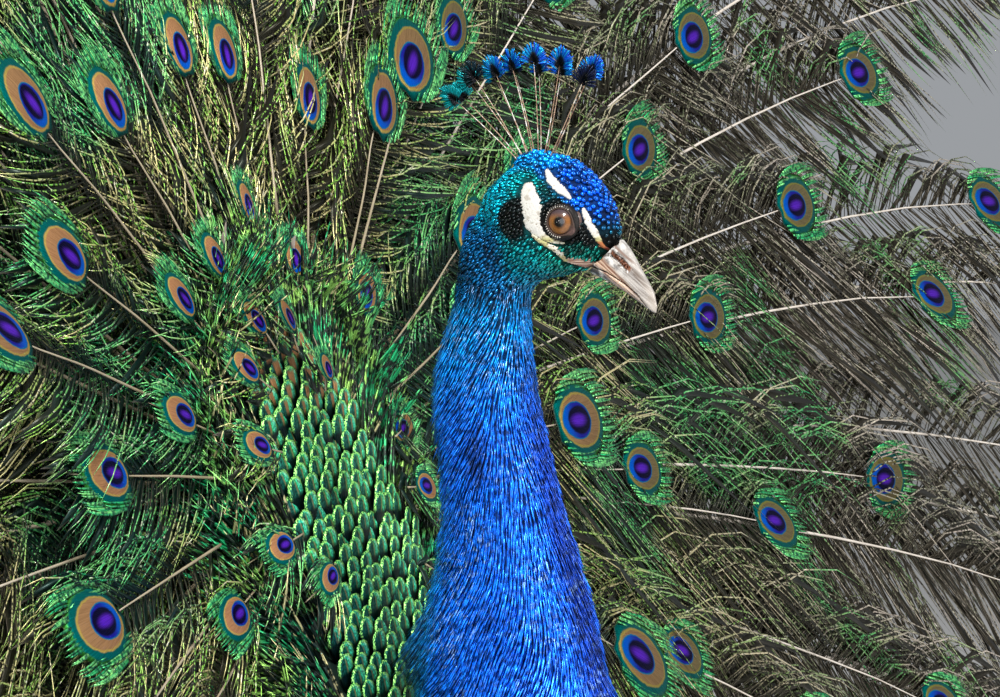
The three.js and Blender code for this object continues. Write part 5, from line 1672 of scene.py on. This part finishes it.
def lid_beads(side):
    shape, faces = round_ball(1)
    rows, draw = [], np.random.default_rng(43)
    for radius, out, size, corner in BEAD_RINGS:
        ring, turns = ring_points(side, radius, out, corner, BEAD_SPOKES)
        keep = (turns > math.radians(50)) & (turns < math.radians(275))
        sizes = size * draw.uniform(0.6, 1.2, keep.sum())
        rows.append(ring[keep][:, None] + sizes[:, None, None] * shape[None])
    points = np.concatenate(rows)
    flat = np.full((*points.shape[:2], 2), 0.5)
    return points, (faces,), flat, flat


LID_SPOKES = 72


def add_lids():
    bundles, beads = [], []
    for side in (-1, 1):
        points, quads, maps = ring_loft(side, LID_PROFILE, LID_SPOKES, True)
        bake = maps * [0.45, 0.96] + [0.02 if side < 0 else 0.52, 0.02]
        bundles.append((points[None], (quads,), bake[None], maps[None]))
        beads.append(lid_beads(side))
    mesh = joined_mesh("lids", bundles)
    shade_smooth(mesh)
    add_piece("lids", mesh, (lid_paint(),))
    white = Paint("lid_beads", roughness=0.45)
    speck = white.noise(white.place(), 900.0)
    shade = white.mix(speck, (0.24, 0.21, 0.19), (0.60, 0.56, 0.52))
    add_piece("lid_beads", joined_mesh("lid_beads", beads), (white.color(shade),))


EYE_PAINT = eye_paint()
add_eyeball("ball_left", 1, EYE_PAINT)
add_eyeball("ball_right", -1, EYE_PAINT)
add_lids()

# ---- Bill ----
# The horn is smooth and pale, stronger at the base where a swollen cere carries the nostril
# slits. Brown lines follow the cutting edges from the gape.
BILL_BASE = Vector((0, EYE_Y - 0.008, EYE_SURFACE.z - 0.014))
BILL_PITCH = math.radians(42)
BILL_WAY = Vector((0, -math.cos(BILL_PITCH), -math.sin(BILL_PITCH)))
BILL_UP = Vector((0, -math.sin(BILL_PITCH), math.cos(BILL_PITCH)))
NOSTRIL = (0.0095, 0.0225, 0.0068)  # along the bill from, to; height over the bill's axis
NOSTRIL_HALF = 0.0011
NOSTRIL_DEPTH = 0.0011
BILL_VOXEL = 0.0004


# A finer, rounder copy of solids of the frame, joined into one closed surface.
def refined(name, nodes, voxel, rounds):
    joined = bmesh.new()
    for node in nodes:
        joined.from_mesh(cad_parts[node].data)
    whole, shape = remeshed(name, joined, voxel, rounds)
    whole.name = name
    shape.to_mesh(whole)
    shape.free()
    whole.materials.clear()
    shade_smooth(whole)
    return whole


def add_refined(name, nodes, voxel, rounds, paint, carve=None):
    mesh = refined(name, nodes, voxel, rounds)
    if carve:
        carve(mesh)
    bake_by_charts(mesh)
    add_piece(name, mesh, (paint,), nodes)


def cut_nostrils(mesh):
    for vertex in mesh.vertices:
        place = vertex.co - BILL_BASE
        along, over = place.dot(BILL_WAY), place.dot(BILL_UP)
        share = (along - NOSTRIL[0]) / (NOSTRIL[1] - NOSTRIL[0])
        if not -0.3 < share < 1.3 or abs(place.x) < 0.0012:
            continue
        bow = NOSTRIL[2] + 0.0012 * math.sin(math.pi * min(max(share, 0), 1))
        ends = float(smooth(-0.08, 0.12, share) * smooth(1.06, 0.85, share))
        slit = float(smooth(NOSTRIL_HALF * 1.5, NOSTRIL_HALF * 0.5, abs(over - bow))) * ends
        lid = math.exp(-(((over - bow - 0.0022) / 0.0011) ** 2)) * ends
        vertex.co += vertex.normal * (0.0005 * lid - NOSTRIL_DEPTH * slit)


def bill_paint():
    paint = Paint("bill", roughness=0.36, coat=0.2)
    place = paint.vector("SUBTRACT", paint.place(), tuple(BILL_BASE))
    along = paint.vector("DOT_PRODUCT", place, tuple(BILL_WAY))
    over = paint.vector("DOT_PRODUCT", place, tuple(BILL_UP))
    streak = paint.noise(paint.join(paint.times(along, 60.0), paint.times(over, 900.0)), 1.0)
    blotch = paint.noise(place, 240.0, detail=3.0)
    horn = paint.mix(paint.ramp(streak, 0.34, 0.66), (0.09, 0.066, 0.052), (0.34, 0.31, 0.285))
    tip = paint.mix(streak, (0.24, 0.205, 0.175), (0.50, 0.46, 0.42))
    horn = paint.mix(paint.ramp(along, 0.030, 0.044), horn, tip)
    base = paint.mix(paint.ramp(blotch, 0.42, 0.60), (0.06, 0.05, 0.045), (0.50, 0.49, 0.47))
    horn = paint.mix(paint.ramp(along, 0.027, 0.010), horn, base)
    # The ridge along the top is painted lighter as a highlight.
    ridge_highlight = paint.ramp(paint.math("MULTIPLY_ADD", along, 0.16, over), 0.0118, 0.0140)
    horn = paint.mix(paint.times(ridge_highlight, 0.55), horn, (0.42, 0.40, 0.38))
    edge = paint.math("ADD", paint.times(along, -0.10), 0.0015)
    from_edge = paint.math("SUBTRACT", over, edge)
    near_edge = paint.times(paint.ramp(paint.math("ABSOLUTE", from_edge), 0.0042, 0.0012),
                           paint.ramp(along, 0.040, 0.022))
    beige = paint.mix(paint.ramp(streak, 0.40, 0.56), (0.16, 0.065, 0.035), (0.48, 0.34, 0.25))
    shade = paint.mix(near_edge, horn, beige)
    gape = paint.ramp(along, 0.006, -0.002)
    shade = paint.mix(gape, shade, paint.mix(blotch, (0.42, 0.16, 0.07), (0.66, 0.50, 0.40)))
    bow = paint.math("SUBTRACT", over, NOSTRIL[2] + 0.0009)
    slit = paint.ramp(paint.math("ABSOLUTE", bow), NOSTRIL_HALF * 1.35, NOSTRIL_HALF * 0.7)
    slit = paint.times(slit, paint.ramp(along, NOSTRIL[0] - 0.0006, NOSTRIL[0] + 0.0010))
    slit = paint.times(slit, paint.ramp(along, NOSTRIL[1] + 0.0006, NOSTRIL[1] - 0.0014))
    shade = paint.mix(slit, shade, paint.mix(blotch, (0.09, 0.025, 0.01), (0.25, 0.09, 0.04)))
    fold = paint.ramp(paint.math("ABSOLUTE", paint.math("SUBTRACT", bow, 0.0031)), 0.0007, 0.0002)
    fold = paint.times(fold, paint.ramp(along, 0.024, 0.018))
    shade = paint.mix(fold, shade, (0.16, 0.11, 0.09))
    paint.bump(streak, 0.0002)
    return paint.color(shade)


def add_bill():
    paint = bill_paint()
    for name, carve in (("beak_upper", cut_nostrils), ("beak_lower", None)):
        add_refined("horn_" + name, (name,), BILL_VOXEL, 5, paint, carve)


add_bill()

# ---- Crest ----
# A fan of bare-shafted feathers stands in two rows on the crown. Each ends in a flat flag of dense
# barbs, blue and turquoise outside and black within, and carries a few hairs lower down.
CREST_ROOT = np.array([0, 0.0225 + EYE_Y, 0.786])
CREST_LENGTH = 0.0612
CREST_SPREAD = (-27, 43)  # degrees forward and back of upright
CREST_STATIONS = 7
CREST_ROWS = ((-0.0020, 7, 0.0), (0.0020, 7, 0.35))  # place across, feathers, shift
CREST_STRIPS = 15  # strips of the bake square, one for each feather and one spare
FLAG_BARBS = 56
CREST_HAIRS = 10


def crest_paint():
    paint = Paint("crest_flags", roughness=0.3, metallic=0.6)
    along, strand, _ = paint.split(paint.map("Vane"))
    _, y, _ = paint.split(paint.place())
    rear = paint.ramp(y, EYE_Y + 0.035, EYE_Y + 0.062)
    tip = paint.mix(paint.ramp(strand, 0.4, 0.9), (0.0, 0.08, 0.62), (0.0, 0.30, 0.66))
    tip = paint.mix(rear, tip, (0.0, 0.30, 0.34))
    lit = paint.times(paint.ramp(along, 0.22, 0.44), paint.ramp(strand, 0.10, 0.24))
    return paint.color(paint.mix(lit, (0.003, 0.004, 0.008), tip))


def crest_shaft_paint():
    paint = Paint("crest_shafts", roughness=0.4)
    ripple = paint.noise(paint.place(), 210.0)
    brown = paint.mix(paint.ramp(ripple, 0.36, 0.52), (0.13, 0.065, 0.040), (0.34, 0.22, 0.15))
    return paint.color(paint.mix(paint.ramp(ripple, 0.54, 0.60), brown, (0.62, 0.58, 0.55)))


# Barbs along a shaft, from the lowest to the highest place: a flag at its end or hairs lower down.
def crest_barbs(draw, shaft, total, lowest, highest, size, is_flag, strip, darkness):
    reach, path, along, flat, out = shaft
    spot = np.linspace(lowest, highest, total) + draw.uniform(-0.0003, 0.0003, total)
    side = np.where(np.arange(total) % 2, 1.0, -1.0)
    at = np.stack([np.interp(spot, reach, path[:, i]) for i in range(3)], axis=-1)
    station = -1 if is_flag else 3
    way, wide, face = along[station], flat[station], out[station]
    rest = np.clip((highest - spot) / (highest - lowest), 0, 1)
    open_angle = np.radians(3 + 70 * rest**0.85) if is_flag else np.full(total, 0.5)
    open_angle = open_angle + draw.normal(0, 0.05, total)
    grown = size * draw.uniform(0.93, 1.05, total) * (0.80 + 0.20 * (1 - rest))
    tilt = draw.normal(0, 0.16, total)
    paths = []
    for step in (0, 0.35, 0.68, 0.92, 1):
        turned = open_angle * (1 + 0.12 * step)
        spread_out = np.outer(np.cos(turned), way) + np.outer(np.sin(turned) * side, wide)
        paths.append(at + step * grown[:, None] * (spread_out + np.outer(tilt * step, face)))
    barb_path = np.stack(paths, axis=1)
    ways = unit(np.gradient(barb_path, axis=1))
    sides = unit(np.cross(ways, face))
    half = np.tile((0.00040 if is_flag else 0.00010) * np.array([0.5, 0.8, 1.0, 0.9, 0]), (total, 1))
    barbs = strand_mesh(barb_path, sides, np.cross(sides, ways), half, 0.5 * half, THREAD)
    seed = np.zeros(total)
    if is_flag:
        seed += darkness or draw.uniform(0.25, 1, total)
    shape = barbs[0].shape[:2]
    vane = map_of(barbs[2], seed[:, None], shape)
    bake = map_of(strip + 0.015 * (barbs[2] - 0.5), 0.5 + 0.45 * rest[:, None], shape)
    return barbs[0], barbs[1], bake, vane


# One feather of the crest: its shaft, its flag and its hairs.
def crest_feather(draw, number, across_root, share):
    lean = math.radians(np.interp(share, [0, 1], CREST_SPREAD) + draw.normal(0, 1.6))
    length = CREST_LENGTH * draw.uniform(0.90, 1.0) * (1 - 0.06 * abs(share - 0.45))
    splay = 1.9 * across_root / CREST_LENGTH + draw.normal(0, 0.03)
    root = CREST_ROOT + np.array([across_root, 0.006 * (2 * share - 1), 0])
    steps = np.linspace(0, 1, CREST_STATIONS)
    reach = steps * (length - 0.007)
    path = root + np.outer(reach, [splay, math.sin(lean), math.cos(lean)])
    path[:, 1] += 0.07 * length * (0.2 + share) * steps**2
    along = unit(np.gradient(path, axis=0))
    twist = draw.normal(0, 0.3)
    broadside = [math.cos(twist), math.sin(twist) * math.cos(lean), -math.sin(twist) * math.sin(lean)]
    flat = unit(np.cross(along, broadside))
    out = np.cross(flat, along)
    width = np.interp(steps, [0, 1], [0.00034, 0.00020])[None]
    shaft = strand_mesh(path[None], flat[None], out[None], width, width, QUILL)
    strip = (number + 0.5) / CREST_STRIPS
    bake = np.stack([strip + 0.004 * shaft[3], 0.45 * shaft[2] + 0.01], axis=-1)[None]
    darkness = 0.0 if number % 5 else 0.12
    ways = (reach, path, along, flat, out)
    look = (strip, darkness)
    flag = crest_barbs(draw, ways, FLAG_BARBS, length - 0.0108, length - 0.0076, 0.0084, True, *look)
    hairs = crest_barbs(draw, ways, CREST_HAIRS, 0.014, 0.036, 0.0040, False, *look)
    return (shaft[0], shaft[1], bake, bake), [flag, hairs]


def add_crest():
    draw = np.random.default_rng(51)
    shafts, flags = [], []
    for across_root, count, shift in CREST_ROWS:
        for index in range(count):
            shaft, barbs = crest_feather(draw, len(shafts), across_root, (index + shift) / (count - 1))
            shafts.append(shaft)
            flags += barbs
    mesh = joined_mesh("crest_plumes", flags + shafts)
    set_kinds(mesh, flags + shafts, [0] * len(flags) + [1] * len(shafts))
    add_piece("crest_plumes", mesh, (crest_paint(), crest_shaft_paint()), ("crest",))


add_crest()

# ---- Wings ----
# The wings droop beside the rump: a thin arm under stiff feathers in tiers. Chestnut primaries and
# blue-black secondaries lie below, buff coverts barred with black lap over them from the wrist.
WRIST = np.array([0.086, 0.006 + EYE_Y, 0.462])
WING_END = np.array([0.080, 0.262 + EYE_Y, 0.384])
WING_ALONG = unit(WING_END - WRIST)
WING_UP = unit(np.cross(SIDEWAYS, WING_ALONG))
WING_OUT = np.cross(WING_ALONG, WING_UP)
WING_LENGTH = float(np.linalg.norm(WING_END - WRIST))
WING_HALF_HEIGHT = 0.050
WING_SHINGLE = math.radians(8)
WING_CORE = np.array([(0, 14, 4), (0.1, 34, 9), (0.35, 50, 12), (0.65, 45, 10), (0.9, 26, 7), (1, 12, 4)])
# Tiers, innermost first: count, run of the roots along and up the wing, run of the directions
# below the wing's line, length, half width, lift and finish.
WING_TIERS = (
    (9, (0.26, 0.62), (-0.78, -0.35), (15, 10), 0.200, 0.0125, 0.003, 2),
    (7, (0.30, 0.64), (-0.45, 0.10), (9, 6), 0.178, 0.014, 0.006, 1),
    (8, (0.28, 0.60), (-0.50, 0.46), (4, 12), 0.145, 0.0155, 0.010, 0),
    (8, (0.12, 0.46), (-0.62, 0.52), (-2, 12), 0.090, 0.0145, 0.014, 0),
    (7, (0.04, 0.30), (-0.52, 0.48), (-4, 12), 0.064, 0.0150, 0.017, 0),
    (5, (0.00, 0.16), (-0.34, 0.36), (-4, 12), 0.046, 0.0145, 0.018, 0),
)
WING_CELLS = (8, 6)  # columns and rows of the bake square
CORE_STATIONS = 14
# A stiff feather's outline: place along it and share of its half width.
VANE_SHAPE = np.array([(0, 0.16), (0.12, 0.55), (0.3, 0.88), (0.5, 1.0), (0.7, 1.0), (0.85, 0.88),
                       (0.94, 0.60), (0.985, 0.28), (1, 0)])


# The corner and size of one feather's cell in the bake square.
def bake_cell(number, columns, rows):
    column, row = number % columns, number // columns
    return (column / columns + 0.005, row / rows + 0.005), (0.9 / columns, 0.9 / rows)


# A stiff feather: a thin arched vane and a shaft along its front. Ways are (along, across, out).
def stiff_feather(start, ways, length, half, droop, lift, cell):
    along, across, out = ways
    reach, widths = VANE_SHAPE.T
    rise = lift * np.minimum(1, reach / 0.3) - droop * reach**2
    path = start + np.outer(reach * length, along) + np.outer(rise, out)
    lines = unit(np.gradient(path, axis=0))
    sides = np.repeat(across[None], len(path), axis=0)
    faces = np.cross(sides, lines)
    vane = strand_mesh(path[None], sides[None], faces[None], half * widths[None],
                       0.018 * half * np.ones((1, len(path))), LEAF)
    grid = np.stack([0.5 + 0.5 * vane[3], np.append(np.repeat(reach[:-1], len(LEAF)), 1.0)], axis=-1)
    corner, size = cell
    bake = np.array(corner) + grid * np.array(size) * [0.8, 0.96]
    shaft_path = path + 0.10 * half * faces
    width = np.interp(reach, [0, 1], [0.075 * half, 0.015 * half])
    shaft = strand_mesh(shaft_path[None], sides[None], faces[None], width[None], width[None], QUILL)
    line = np.stack([np.full(len(shaft[2]), 0.5), shaft[2]], axis=-1)
    shaft_bake = np.array(corner) + np.stack([0.85 + 0.05 * shaft[3], 0.96 * shaft[2]], -1) * size
    return ((vane[0], vane[1], bake[None], grid[None]), (shaft[0], shaft[1], shaft_bake[None], line[None]))


def piece_of_feathers(name, feathers, paints, replaced, extra=()):
    bundles, kinds = list(extra), [0] * len(extra)
    for kind, (vane, shaft) in feathers:
        bundles += [vane, shaft]
        kinds += [kind, len(paints) - 1]
    mesh = joined_mesh(name, bundles)
    set_kinds(mesh, bundles, kinds)
    add_piece(name, mesh, paints, replaced)


# The vane's map runs across and along the feather. Barbs show as fine slanting lines.
def vane_lines(paint):
    x, y, _ = paint.split(paint.map("Vane"))
    away = paint.math("ABSOLUTE", paint.math("SUBTRACT", x, 0.5))
    slant = paint.math("MULTIPLY_ADD", away, -0.5, y)
    lines = paint.noise(paint.join(paint.times(slant, 90.0), paint.times(away, 2.0)), 1.0)
    return y, slant, lines


def barred_paint():
    paint = Paint("barred_feathers", roughness=0.6, sheen=0.1)
    _, slant, lines = vane_lines(paint)
    warp = paint.noise(paint.place(), 55.0, detail=3.0)
    phase = paint.math("MULTIPLY_ADD", paint.math("ADD", slant, paint.times(warp, 0.34)), 42.0, 0.0)
    bar = paint.ramp(paint.math("SINE", phase), -0.25, 0.35)
    buff = paint.mix(lines, (0.34, 0.24, 0.14), (0.52, 0.41, 0.28))
    black = paint.mix(lines, (0.012, 0.010, 0.008), (0.045, 0.035, 0.03))
    paint.bump(lines, 0.0004)
    return paint.color(paint.mix(bar, buff, black))


def plain_vane_paint(name, low, high, rough, metallic):
    paint = Paint(name, roughness=rough, metallic=metallic)
    lines = vane_lines(paint)[-1]
    paint.bump(lines, 0.0004)
    return paint.color(paint.mix(lines, low, high))


def stem_paint(name, color):
    return Paint(name, roughness=0.4).color(color)


BARRED = barred_paint()
SECONDARY = plain_vane_paint("secondaries", (0.004, 0.010, 0.016), (0.012, 0.045, 0.060), 0.4, 0.3)
PRIMARY = plain_vane_paint("primaries", (0.13, 0.050, 0.020), (0.30, 0.135, 0.060), 0.6, 0.0)
WING_STEM = stem_paint("wing_stems", (0.10, 0.065, 0.04))


def turned(vector, axis, angle):
    return np.array(Matrix.Rotation(angle, 3, Vector(axis)) @ Vector(vector))


def add_wing(word, side):
    draw = np.random.default_rng(61 + side)
    flip = np.array([side, 1, 1])
    steps = np.linspace(0, 1, CORE_STATIONS)
    half, thick = (np.interp(steps, WING_CORE[:, 0], WING_CORE[:, i]) * 0.00092 for i in (1, 2))
    core_path = WRIST + np.outer(steps, WING_END - WRIST)
    up, out = (np.tile(way, (1, CORE_STATIONS, 1)) for way in (WING_UP * flip, WING_OUT * flip * side))
    core = strand_mesh((core_path * flip)[None], up, out, half[None], thick[None], round_section(12))
    spot = np.zeros((1, core[0].shape[1], 2)) + [0.5, 0.5]
    feathers = []
    for count, run, rise, falls, length, width, lift, kind in WING_TIERS:
        for i in range(count):
            share = i / (count - 1)
            start = WRIST + WING_ALONG * np.interp(share, [0, 1], run) * WING_LENGTH
            start = start + WING_UP * np.interp(share, [0, 1], rise) * WING_HALF_HEIGHT
            fall = math.radians(np.interp(share, [0, 1], falls) + draw.normal(0, 0.8))
            along = WING_ALONG * math.cos(fall) - WING_UP * math.sin(fall)
            across = turned(unit(np.cross(WING_OUT, along)), along, -WING_SHINGLE)
            out = unit(np.cross(along, across))
            lines, face = along * flip, out * flip
            ways = (lines, np.cross(lines, face), face)
            cell = bake_cell(len(feathers), *WING_CELLS)
            grown = length * draw.uniform(0.95, 1.03)
            feathers.append((kind, stiff_feather(start * flip, ways, grown, width, 0.003, lift, cell)))
    paints = (BARRED, SECONDARY, PRIMARY, WING_STEM)
    piece_of_feathers("feathers_wing_" + word, feathers, paints, ("wing_" + word,),
                      ((core[0], core[1], spot, spot),))


add_wing("left", 1)
add_wing("right", -1)

# ---- Tail feathers behind the train ----
# Eighteen stiff brown rectrices stand in a half fan on the root of the tail and prop the train.
# Loose dark plumes cover their roots behind.
TAIL_ROOT = np.array([0, 0.346 + EYE_Y, 0.456])
TAIL_LEAN = math.radians(5)
TAIL_UP = np.array([0, math.sin(TAIL_LEAN), math.cos(TAIL_LEAN)])
TAIL_OUT = np.array([0, -math.cos(TAIL_LEAN), math.sin(TAIL_LEAN)])
TAIL_RADIUS = 0.395
TAIL_SPREAD = math.radians(78)
TAIL_COUNT = 18
TAIL_LAYER = 0.003
TAIL_CELLS = (6, 3.2)
TAIL_START = 0.014  # where a feather begins, along it from the root of the tail
PLUME_COUNT = 520


def rectrix_paint():
    paint = Paint("rectrices", roughness=0.6)
    y, _, lines = vane_lines(paint)
    mottle = paint.noise(paint.place(), 90.0, detail=3.0)
    base = paint.mix(lines, (0.10, 0.070, 0.045), (0.22, 0.165, 0.115))
    base = paint.mix(paint.ramp(mottle, 0.48, 0.62), base, (0.05, 0.036, 0.025))
    paint.bump(lines, 0.0005)
    return paint.color(paint.mix(paint.ramp(y, 0.93, 0.97), base, (0.34, 0.27, 0.19)))


def add_tail():
    draw = np.random.default_rng(71)
    shape, ball = round_ball(3)
    points = (shape * [0.027, 0.013, 0.032] + TAIL_ROOT - [0, 0.003, 0])[None]
    spot = np.full((*points.shape[:2], 2), 0.99)
    feathers = []
    for i in range(TAIL_COUNT):
        angle = np.interp(i, [0, TAIL_COUNT - 1], [-TAIL_SPREAD, TAIL_SPREAD]) + draw.normal(0, 0.012)
        length = TAIL_RADIUS * (1 - 0.1 * abs(angle) / TAIL_SPREAD) * draw.uniform(0.98, 1.01)
        along = TAIL_UP * math.cos(angle) + SIDEWAYS * math.sin(angle)
        across = turned(np.cross(along, TAIL_OUT), along, draw.normal(0.05, 0.03))
        out = np.cross(across, along)
        start = TAIL_ROOT + TAIL_START * along - (i % 2) * TAIL_LAYER * TAIL_OUT
        cell = bake_cell(i, *TAIL_CELLS)
        grown = length - TAIL_START
        feathers.append((0, stiff_feather(start, (along, across, out), grown, 0.028, 0.004, 0, cell)))
    paints = (rectrix_paint(), stem_paint("tail_stems", (0.34, 0.27, 0.2)))
    piece_of_feathers("feathers_tail", feathers, paints, ("tail",),
                      ((points, (ball,), spot, spot),))


PLUME_ROWS = [(-0.03, 0.10, 0.02, 0), (0.3, 0.40, 0.04, 0.02), (0.7, 0.50, 0.04, 0.08),
              (0.9, 0.3, 0.02, 0.13), (1.0, 0, 0, 0.17)]


def add_plumes():
    draw = np.random.default_rng(72)
    bend = draw.uniform(-1, 1, PLUME_COUNT)
    way = np.stack([bend, draw.uniform(-0.35, 0.9, PLUME_COUNT), draw.uniform(-0.9, 0.9, PLUME_COUNT)], -1)
    normals = unit(way)
    points = TAIL_ROOT + [0, 0.004, 0] + normals * [0.030, 0.020, 0.036]
    lie = np.outer(0.8 * bend, SIDEWAYS) + np.outer(draw.uniform(1.0, 1.7, PLUME_COUNT), TAIL_UP)
    lie += draw.normal(0, 0.15, (PLUME_COUNT, 3))
    sizes = np.repeat([[0.028, 0.074, 0.020]], PLUME_COUNT, axis=0)
    lift = np.abs(draw.normal(0.30, 0.14, PLUME_COUNT))
    stand_feathers("tail_plumes", feather_template("plume", PLUME_ROWS, round_section(4)), points, normals,
                   lie, lift, sizes, down_paint(), 10, (0.5, 1.15), tone=0 * points)


add_tail()
add_plumes()

# ---- Legs, claws and spurs ----
# Long bare shanks carry broad plates down the front and small net-like scales behind. Four toes
# grip the ground. Claws and the spur on each shank are dark horn.
LEG_VOXEL = 0.0009
CLAW_VOXEL = 0.0006


def leg_paint():
    paint = Paint("leg_skin", roughness=0.5)
    place = paint.place()
    cells = paint.nodes.new("ShaderNodeTexVoronoi")
    cells.feature = "DISTANCE_TO_EDGE"
    cells.inputs["Scale"].default_value = 330.0
    paint.feed(cells.inputs["Vector"], place)
    gaps = paint.ramp(cells.outputs["Distance"], 0.02, 0.12)
    blotch = paint.noise(place, 70.0, detail=3.0)
    skin_tone = paint.mix(blotch, (0.17, 0.14, 0.12), (0.36, 0.31, 0.27))
    paint.bump(gaps, 0.0005, 0.8)
    return paint.color(paint.mix(gaps, (0.06, 0.045, 0.035), skin_tone))


def claw_paint():
    paint = Paint("claw_horn", roughness=0.35, coat=0.2)
    streak = paint.noise(paint.place(), 420.0, detail=2.0)
    return paint.color(paint.mix(streak, (0.018, 0.013, 0.010), (0.085, 0.062, 0.048)))


def add_legs():
    skin_paint, horn = leg_paint(), claw_paint()
    for word in ("left", "right"):
        for name in (f"shank_{word}", f"foot_{word}"):
            add_refined("skin_" + name, (name,), LEG_VOXEL, 2, skin_paint)
        claws = tuple(f"claw_{toe}_{word}" for toe in ("middle", "inner", "outer", "hallux"))
        add_refined("horn_claws_" + word, claws, CLAW_VOXEL, 2, horn)
        add_refined("horn_spur_" + word, (f"spur_{word}",), CLAW_VOXEL, 2, horn)


add_legs()
